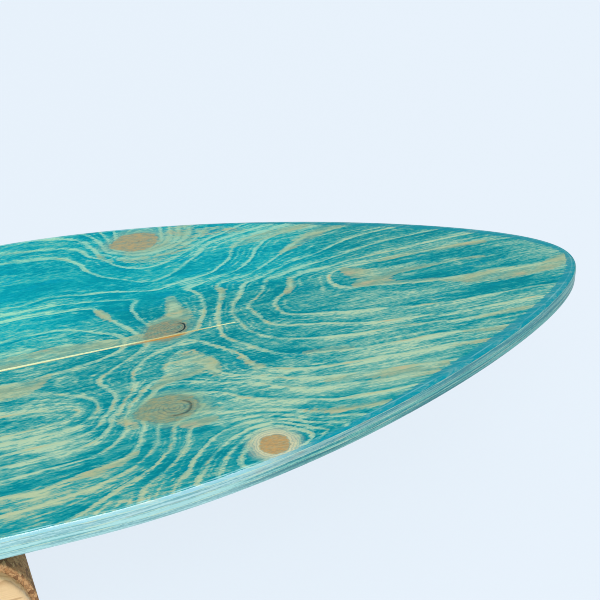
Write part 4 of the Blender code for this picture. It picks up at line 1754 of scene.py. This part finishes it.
FACE_KNOTS = (
    Knot((167, 121), (19, 12.5), tint(182, 162, 118), tint(128, 150, 134), tint(158, 182, 150),
         heart=(0.1, 0.0), arc=0.05, crescent=0.7, rim=0.15, halo=0.45, halo_reach=1.8,
         banding=0.5, swirl=0.08),
    Knot((157, 6), (17, 11), tint(156, 150, 118), tint(92, 140, 128), tint(140, 166, 136),
         turn=-14, heart=(0.40, -0.05), arc=0.44, crescent=1.0, rim=0.1, halo=0.4,
         point=1.6, banding=0.6, swirl=0.6),
    Knot((135, -73), (21, 13.5), tint(154, 158, 120), tint(94, 142, 130), tint(150, 184, 148),
         heart=(0.20, -0.08), arc=0.52, crescent=0.65, rim=0.25, halo=0.55, halo_reach=1.5,
         banding=0.5, swirl=0.5),
    Knot((184, -127), (9.5, 9), tint(190, 154, 100), tint(156, 142, 104), tint(206, 202, 164),
         point=0.0, heart=(0.0, 0.0), arc=0.2, crescent=0.0, rim=0.0, halo=0.9, halo_reach=2.1,
         banding=0.35, swirl=0.0),
    Knot((-38, 66), (16, 11), TAN, tint(172, 142, 104), TEAL_HALO, crescent=0.6),
    Knot((-96, -70), (18, 12), OLIVE, tint(186, 168, 116), TEAL_HALO, crescent=0.7),
    Knot((-262, -84), (11, 9), ORANGE_BROWN, tint(176, 140, 96), PALE_RING, point=0.5, swirl=0.0),
    Knot((-318, 62), (17, 11), TAN, GREY_BROWN, TEAL_HALO, crescent=0.6),
)

BACK_KNOTS = (
    Knot((290, 34), (15, 10), TAN, GREY_BROWN, TEAL_HALO),
    Knot((128, -62), (20, 13), OLIVE, TAN, TEAL_HALO, crescent=0.8),
    Knot((-118, -28), (18, 12), GREY_BROWN, TAN, TEAL_HALO, crescent=0.7),
    Knot((-226, 84), (10, 8), ORANGE_BROWN, TAN, PALE_RING, point=0.5, swirl=0.0),
)


@dataclass
class Stop:
    """A wooden stop under the deck, with its rubber strip and its screws."""

    end: str
    corner: float = 0.008
    corner_steps: int = 12
    foot: float = 0.002
    foot_steps: int = 5
    strip_round: float = 0.0015
    strip_steps: int = 6
    screws: int = 4
    shank: float = 0.002
    head: float = 0.004
    head_depth: float = 0.0026
    head_edge: float = 0.0002
    fit_gap: float = 0.0003
    thread_root: float = 0.0015
    thread_pitch: float = 0.0014
    tip: float = 0.004
    recess_span: float = 0.0044
    recess_width: float = 0.0010
    recess_depth: float = 0.0016
    turn_steps: int = 48

    def build(self, wood: Material, rubber: Material, zinc: Material) -> None:
        """Build the block, the strip and the screws.

        Args:
            wood: Material of the block.
            rubber: Material of the strip.
            zinc: Material of the screws.
        """
        screws = [f"stop_screw_{self.end}_{k + 1}" for k in range(self.screws)]
        node = f"stop_{self.end}"
        shape = cut_away(self._block(node), [self._drill(name) for name in screws])
        add_piece(f"{node}_block", shape, wood, Body.DECK, [node])
        node = f"bumper_{self.end}"
        add_piece(f"{node}_strip", self._strip(node), rubber, Body.DECK, [node])
        for name in screws:
            add_piece(f"{name}_zinc", self._screw(name), zinc, Body.DECK, [name])

    def _block(self, node: str) -> Shape:
        """The block with round corners and a rounded foot."""
        low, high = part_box(node)
        shape = block(low, high)
        upright = [edge for edge in shape.edges if abs(edge.verts[0].co.z - edge.verts[1].co.z) > MERGE]
        bevel(shape, upright, self.corner, self.corner_steps)
        foot = [edge for edge in shape.edges if all(vert.co.z < low.z + MERGE for vert in edge.verts)]
        bevel(shape, foot, self.foot, self.foot_steps)
        return shape

    def _strip(self, node: str) -> Shape:
        """The rubber strip, rounded on the side that meets the roller."""
        low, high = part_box(node)
        front = low.x if abs(low.x) < abs(high.x) else high.x
        shape = block(low, high)
        rim = [
            edge
            for edge in shape.edges
            if all(abs(vert.co.x - front) < MERGE for vert in edge.verts)
            and not all(vert.co.z > high.z - MERGE for vert in edge.verts)
        ]
        bevel(shape, rim, self.strip_round, self.strip_steps)
        return shape

    def _seat(self, node: str) -> tuple[Vector, float]:
        """Middle of a screw's head face, and the screw's length."""
        low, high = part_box(node)
        middle = (low + high) / 2
        return Vector((middle.x, middle.y, low.z)), high.z - low.z

    def _drill(self, node: str) -> Shape:
        """The hole of a screw, with its countersink."""
        seat, length = self._seat(node)
        shank, head = self.shank + self.fit_gap, self.head + self.fit_gap
        profile = [(0.0, length), (shank, length), (shank, self.head_depth), (head, 0.0)]
        profile += [(head, -self.head_depth), (0.0, -self.head_depth)]
        shape = turned(profile, self.turn_steps, closed=False)
        bmesh.ops.translate(shape, vec=seat, verts=shape.verts)
        return shape

    def _screw(self, node: str) -> Shape:
        """A countersunk screw with a cross recess and its thread."""
        seat, length = self._seat(node)
        profile = [(0.0, 0.0), (self.head - self.head_edge, 0.0), (self.head, self.head_edge)]
        profile.append((self.shank, self.head_depth))
        z = self.head_depth + self.thread_pitch
        while z < length - self.tip:
            profile += [(self.thread_root, z), (self.shank, z + self.thread_pitch / 2)]
            z += self.thread_pitch
        profile += [(self.thread_root, z), (0.0, length)]
        shape = turned(profile, self.turn_steps, closed=False)
        recess = []
        for wide, deep in ((self.recess_span, self.recess_width), (self.recess_width, self.recess_span)):
            low = Vector((-wide / 2, -deep / 2, -self.recess_depth))
            recess.append(block(low, -low))
        shape = cut_away(shape, recess)
        bmesh.ops.translate(shape, vec=seat, verts=shape.verts)
        return shape


@dataclass
class Roller:
    """The roller: a grey tube in a cork sleeve, with a turned cap in each end."""

    steps: int = 144
    sleeve_thickness: float = 0.006
    sleeve_round: float = 0.0012
    lump: float = 0.004
    lump_depth: float = 0.00008
    tube_wall: float = 0.005
    tube_edge: float = 0.0004
    fit_gap: float = 0.0003
    cap_round: float = 0.003
    cap_ring: float = 0.62
    cap_ring_width: float = 0.0016
    cap_ring_depth: float = 0.0007
    cap_dish: float = 0.0006
    spigot_edge: float = 0.0005
    round_steps: int = 8
    long_steps: int = 60

    def __post_init__(self) -> None:
        """Read the roller's sizes from the frame."""
        low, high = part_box("roller_sleeve")
        self.axis = (low + high) / 2
        self.radius = (high.z - low.z) / 2
        self.half = (high.y - low.y) / 2
        self.tube_radius = self.radius - self.sleeve_thickness
        self.bore = self.tube_radius - self.fit_gap - self.tube_wall

    def _laid(self, shape: Shape, side: float = 1.0, shift: float = 0.0) -> Shape:
        """Lay a shape that was turned about Z along the roller's axis.

        Args:
            shape: Shape turned about Z.
            side: 1 to turn its top to the left end, -1 to the right end.
            shift: How far its origin lies from the roller's middle.

        Returns:
            The same shape, in place.
        """
        turn = Matrix.Rotation(-side * math.pi / 2, 3, "X")
        bmesh.ops.rotate(shape, cent=ORIGIN, matrix=turn, verts=shape.verts)
        bmesh.ops.translate(shape, vec=self.axis + Vector((0.0, side * shift, 0.0)), verts=shape.verts)
        return shape

    def build(self, cork: Material, pipe: Material, wood: Material) -> None:
        """Build the tube, the sleeve and the caps.

        Args:
            cork: Material of the sleeve.
            pipe: Material of the tube.
            wood: Material of the caps.
        """
        sleeve = self._laid(self._sleeve())
        add_piece("cork_sleeve", sleeve, cork, Body.ROLLER, ["roller_sleeve"])
        tube = self._laid(self._tube())
        add_piece("grey_tube", tube, pipe, Body.ROLLER, ["roller_tube"])
        for node, side in (("end_cap_left", 1.0), ("end_cap_right", -1.0)):
            low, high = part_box(node)
            face = max(abs(low.y), abs(high.y))
            depth = high.y - low.y
            shape = self._laid(self._cap((high.z - low.z) / 2, depth), side, face)
            add_piece(f"{node}_turned", shape, wood, Body.CARRIER, [node])

    def _sleeve(self) -> Shape:
        """The cork sleeve, ground slightly uneven."""
        outer = []
        for k in range(self.round_steps + 1):
            angle = math.pi / 2 * k / self.round_steps
            inset = self.sleeve_round * (1 - math.sin(angle))
            drop = self.sleeve_round * (1 - math.cos(angle))
            outer.append((self.radius - inset, self.half - drop))
        span = 2 * (self.half - self.sleeve_round)
        wall = [(self.radius, outer[-1][1] - span * k / self.long_steps) for k in range(1, self.long_steps)]
        lower = [(radius, -height) for radius, height in reversed(outer)]
        profile = outer + wall + lower + [(self.tube_radius, -self.half), (self.tube_radius, self.half)]
        shape = turned(profile, self.steps, closed=True)
        for vert in shape.verts:
            reach = math.hypot(vert.co.x, vert.co.y)
            if reach > self.radius - self.sleeve_round:
                dent = (noise.noise(vert.co / self.lump) - 1) / 2 * self.lump_depth
                vert.co.xy *= 1 + dent / reach
        return shape

    def _tube(self) -> Shape:
        """The tube inside the sleeve."""
        outer = self.tube_radius - self.fit_gap
        edge = self.tube_edge
        profile = [
            (outer - edge, self.half),
            (outer, self.half - edge),
            (outer, edge - self.half),
            (outer - edge, -self.half),
            (self.bore + edge, -self.half),
            (self.bore, edge - self.half),
            (self.bore, self.half - edge),
            (self.bore + edge, self.half),
        ]
        return turned(profile, self.steps, closed=True)

    def _cap(self, radius: float, depth: float) -> Shape:
        """A cap with a dished face, a turned ring and a spigot.

        Args:
            radius: Radius of its flange.
            depth: Length of the cap with its spigot.

        Returns:
            The cap with its outer face at height 0.
        """
        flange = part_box("end_cap_left")[1].y - self.half - self.fit_gap
        spigot = self.bore * math.cos(math.pi / self.steps) - self.fit_gap
        ring = radius * self.cap_ring
        profile = [(0.0, -self.cap_dish), (ring * 0.5, -self.cap_dish * 0.9)]
        for share in (-0.5, -0.35, 0.0, 0.35, 0.5):
            fall = self.cap_ring_depth * (1 - (share * 2) ** 2)
            slope = self.cap_dish * (1 - self.cap_ring)
            profile.append((ring + share * self.cap_ring_width, -slope - fall))
        for k in range(self.round_steps + 1):
            angle = math.pi / 2 * k / self.round_steps
            inset = self.cap_round * (1 - math.sin(angle))
            profile.append((radius - inset, -self.cap_round * (1 - math.cos(angle))))
        profile += [(radius, -flange), (spigot, -flange), (spigot, self.spigot_edge - depth)]
        profile += [(spigot - self.spigot_edge, -depth), (0.0, -depth)]
        return turned(profile, self.steps, closed=False)


@dataclass(frozen=True)
class Lamp:
    """A soft rectangular lamp: its place, its target, its panel and its power in watts."""

    name: str
    place: Place
    target: Place
    size: Pair
    power: float
    on_matt: bool = True

    def hang(self) -> None:
        """Hang the lamp."""
        lamp = bpy.data.lights.new(self.name, "AREA")
        lamp.shape = "RECTANGLE"
        lamp.size, lamp.size_y = self.size
        lamp.energy = self.power
        obj = bpy.data.objects.new(self.name, lamp)
        obj.location = self.place
        obj.rotation_euler = (Vector(self.target) - Vector(self.place)).to_track_quat("-Z", "Y").to_euler()
        obj.visible_diffuse = self.on_matt
        bpy.context.scene.collection.objects.link(obj)


LAMPS = (
    Lamp("key", (-0.3, -1.5, 1.9), (0.15, 0.0, 0.1), (1.5, 1.1), 22.5),
    Lamp("fill", (1.7, 0.9, 1.5), (0.1, 0.0, 0.1), (1.4, 1.4), 10.0),
    Lamp("edge", (-0.45, -1.3, 0.42), (0.08, -0.15, 0.11), (0.8, 0.24), 5.5),
    Lamp("gloss", (0.30, 0.1, 1.5), (0.16, -0.1, 0.11), (0.40, 1.2), 34.0, on_matt=False),
)


@dataclass
class Studio:
    """A pale floor, soft lamps and the camera of the photograph."""

    backdrop: Colour = tint(232, 242, 252)
    sky: Colour = (1.0, 1.0, 1.0, 1.0)
    floor_size: float = 6.0
    own_light: float = 0.92
    sky_strength: float = 0.62
    lens: float = 85.608
    sensor: float = 36.0
    filter_width: float = 1.0
    camera_place: Place = (-0.02810, -0.73331, 0.63544)
    camera_fall: float = 33.265
    camera_turn: float = 20.568

    def build(self) -> None:
        """Build the floor, the world, the lamps and the camera."""
        bpy.context.scene.view_settings.view_transform = "Standard"
        bpy.context.scene.cycles.filter_width = self.filter_width
        self._floor()
        self._world()
        for lamp in LAMPS:
            lamp.hang()
        self._camera()

    @staticmethod
    def _seen(graph: Graph) -> Wire:
        """1 for rays that show the background itself: camera, glossy and transmission rays."""
        outputs = graph.node("ShaderNodeLightPath").outputs
        kinds = ("Camera", "Glossy", "Transmission")
        camera, glossy, through = (Wire(graph, outputs[f"Is {kind} Ray"]) for kind in kinds)
        return (camera + glossy + through).clamped()

    @staticmethod
    def _shader(graph: Graph, kind: str, **values: Value) -> Socket:
        """Add a shader node, fill its inputs and return its output."""
        made = graph.node(kind)
        for name, value in values.items():
            graph.plug(made.inputs[name], value)
        return made.outputs[0]

    @staticmethod
    def _blend(graph: Graph, share: Wire, first: Socket, second: Socket, output: str) -> None:
        """Send a mix of two shaders to an output node."""
        blend = graph.node("ShaderNodeMixShader")
        for socket, part in zip(blend.inputs, (share, first, second)):
            graph.plug(socket, part)
        graph.plug(graph.node(output).inputs["Surface"], blend.outputs[0])

    def _floor(self) -> None:
        """A wide floor that glows a little in its own colour and keeps soft shadows."""
        shape = bmesh.new()
        bmesh.ops.create_grid(shape, x_segments=1, y_segments=1, size=self.floor_size)
        mesh = bpy.data.meshes.new("studio_floor")
        shape.to_mesh(mesh)
        shape.free()
        material = bpy.data.materials.new("floor_paint")
        material.use_nodes = True
        material.node_tree.nodes.clear()
        graph = Graph(material.node_tree)
        paint = self._shader(graph, "ShaderNodeBsdfDiffuse", Color=self.backdrop)
        glow = self._shader(graph, "ShaderNodeEmission", Color=self.backdrop)
        share = self._seen(graph) * self.own_light
        self._blend(graph, share, paint, glow, "ShaderNodeOutputMaterial")
        mesh.materials.append(material)
        floor = bpy.data.objects.new("studio_floor", mesh)
        bpy.context.scene.collection.objects.link(floor)

    def _world(self) -> None:
        """An even sky that shows as the backdrop's colour."""
        world = bpy.data.worlds.new("studio_sky")
        world.use_nodes = True
        world.node_tree.nodes.clear()
        graph = Graph(world.node_tree)
        sky = self._shader(graph, "ShaderNodeBackground", Color=self.sky, Strength=self.sky_strength)
        shown = self._shader(graph, "ShaderNodeBackground", Color=self.backdrop)
        self._blend(graph, self._seen(graph), sky, shown, "ShaderNodeOutputWorld")
        bpy.context.scene.world = world

    def _camera(self) -> None:
        """Set up the camera of the photograph."""
        data = bpy.data.cameras.new("photo_camera")
        data.lens = self.lens
        data.sensor_width = self.sensor
        camera = bpy.data.objects.new("photo_camera", data)
        camera.location = self.camera_place
        camera.rotation_euler = (math.radians(90 - self.camera_fall), 0.0, math.radians(-self.camera_turn))
        bpy.context.scene.collection.objects.link(camera)
        bpy.context.scene.camera = camera


def main() -> None:
    """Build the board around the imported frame."""
    logging.basicConfig(level=logging.INFO, format="%(name)s: %(message)s")
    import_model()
    Studio().build()
    Deck().build()
    stop_wood = PaleWood("stop_maple").build()
    rubber = Rubber().build()
    zinc = Zinc().build()
    for end in ("nose", "tail"):
        Stop(end).build(stop_wood, rubber, zinc)
    Roller().build(Cork().build(), Pipe().build(), PaleWood("cap_maple", along_y=False).build())
    bpy.context.view_layer.update()


if __name__ == "__main__":
    main()
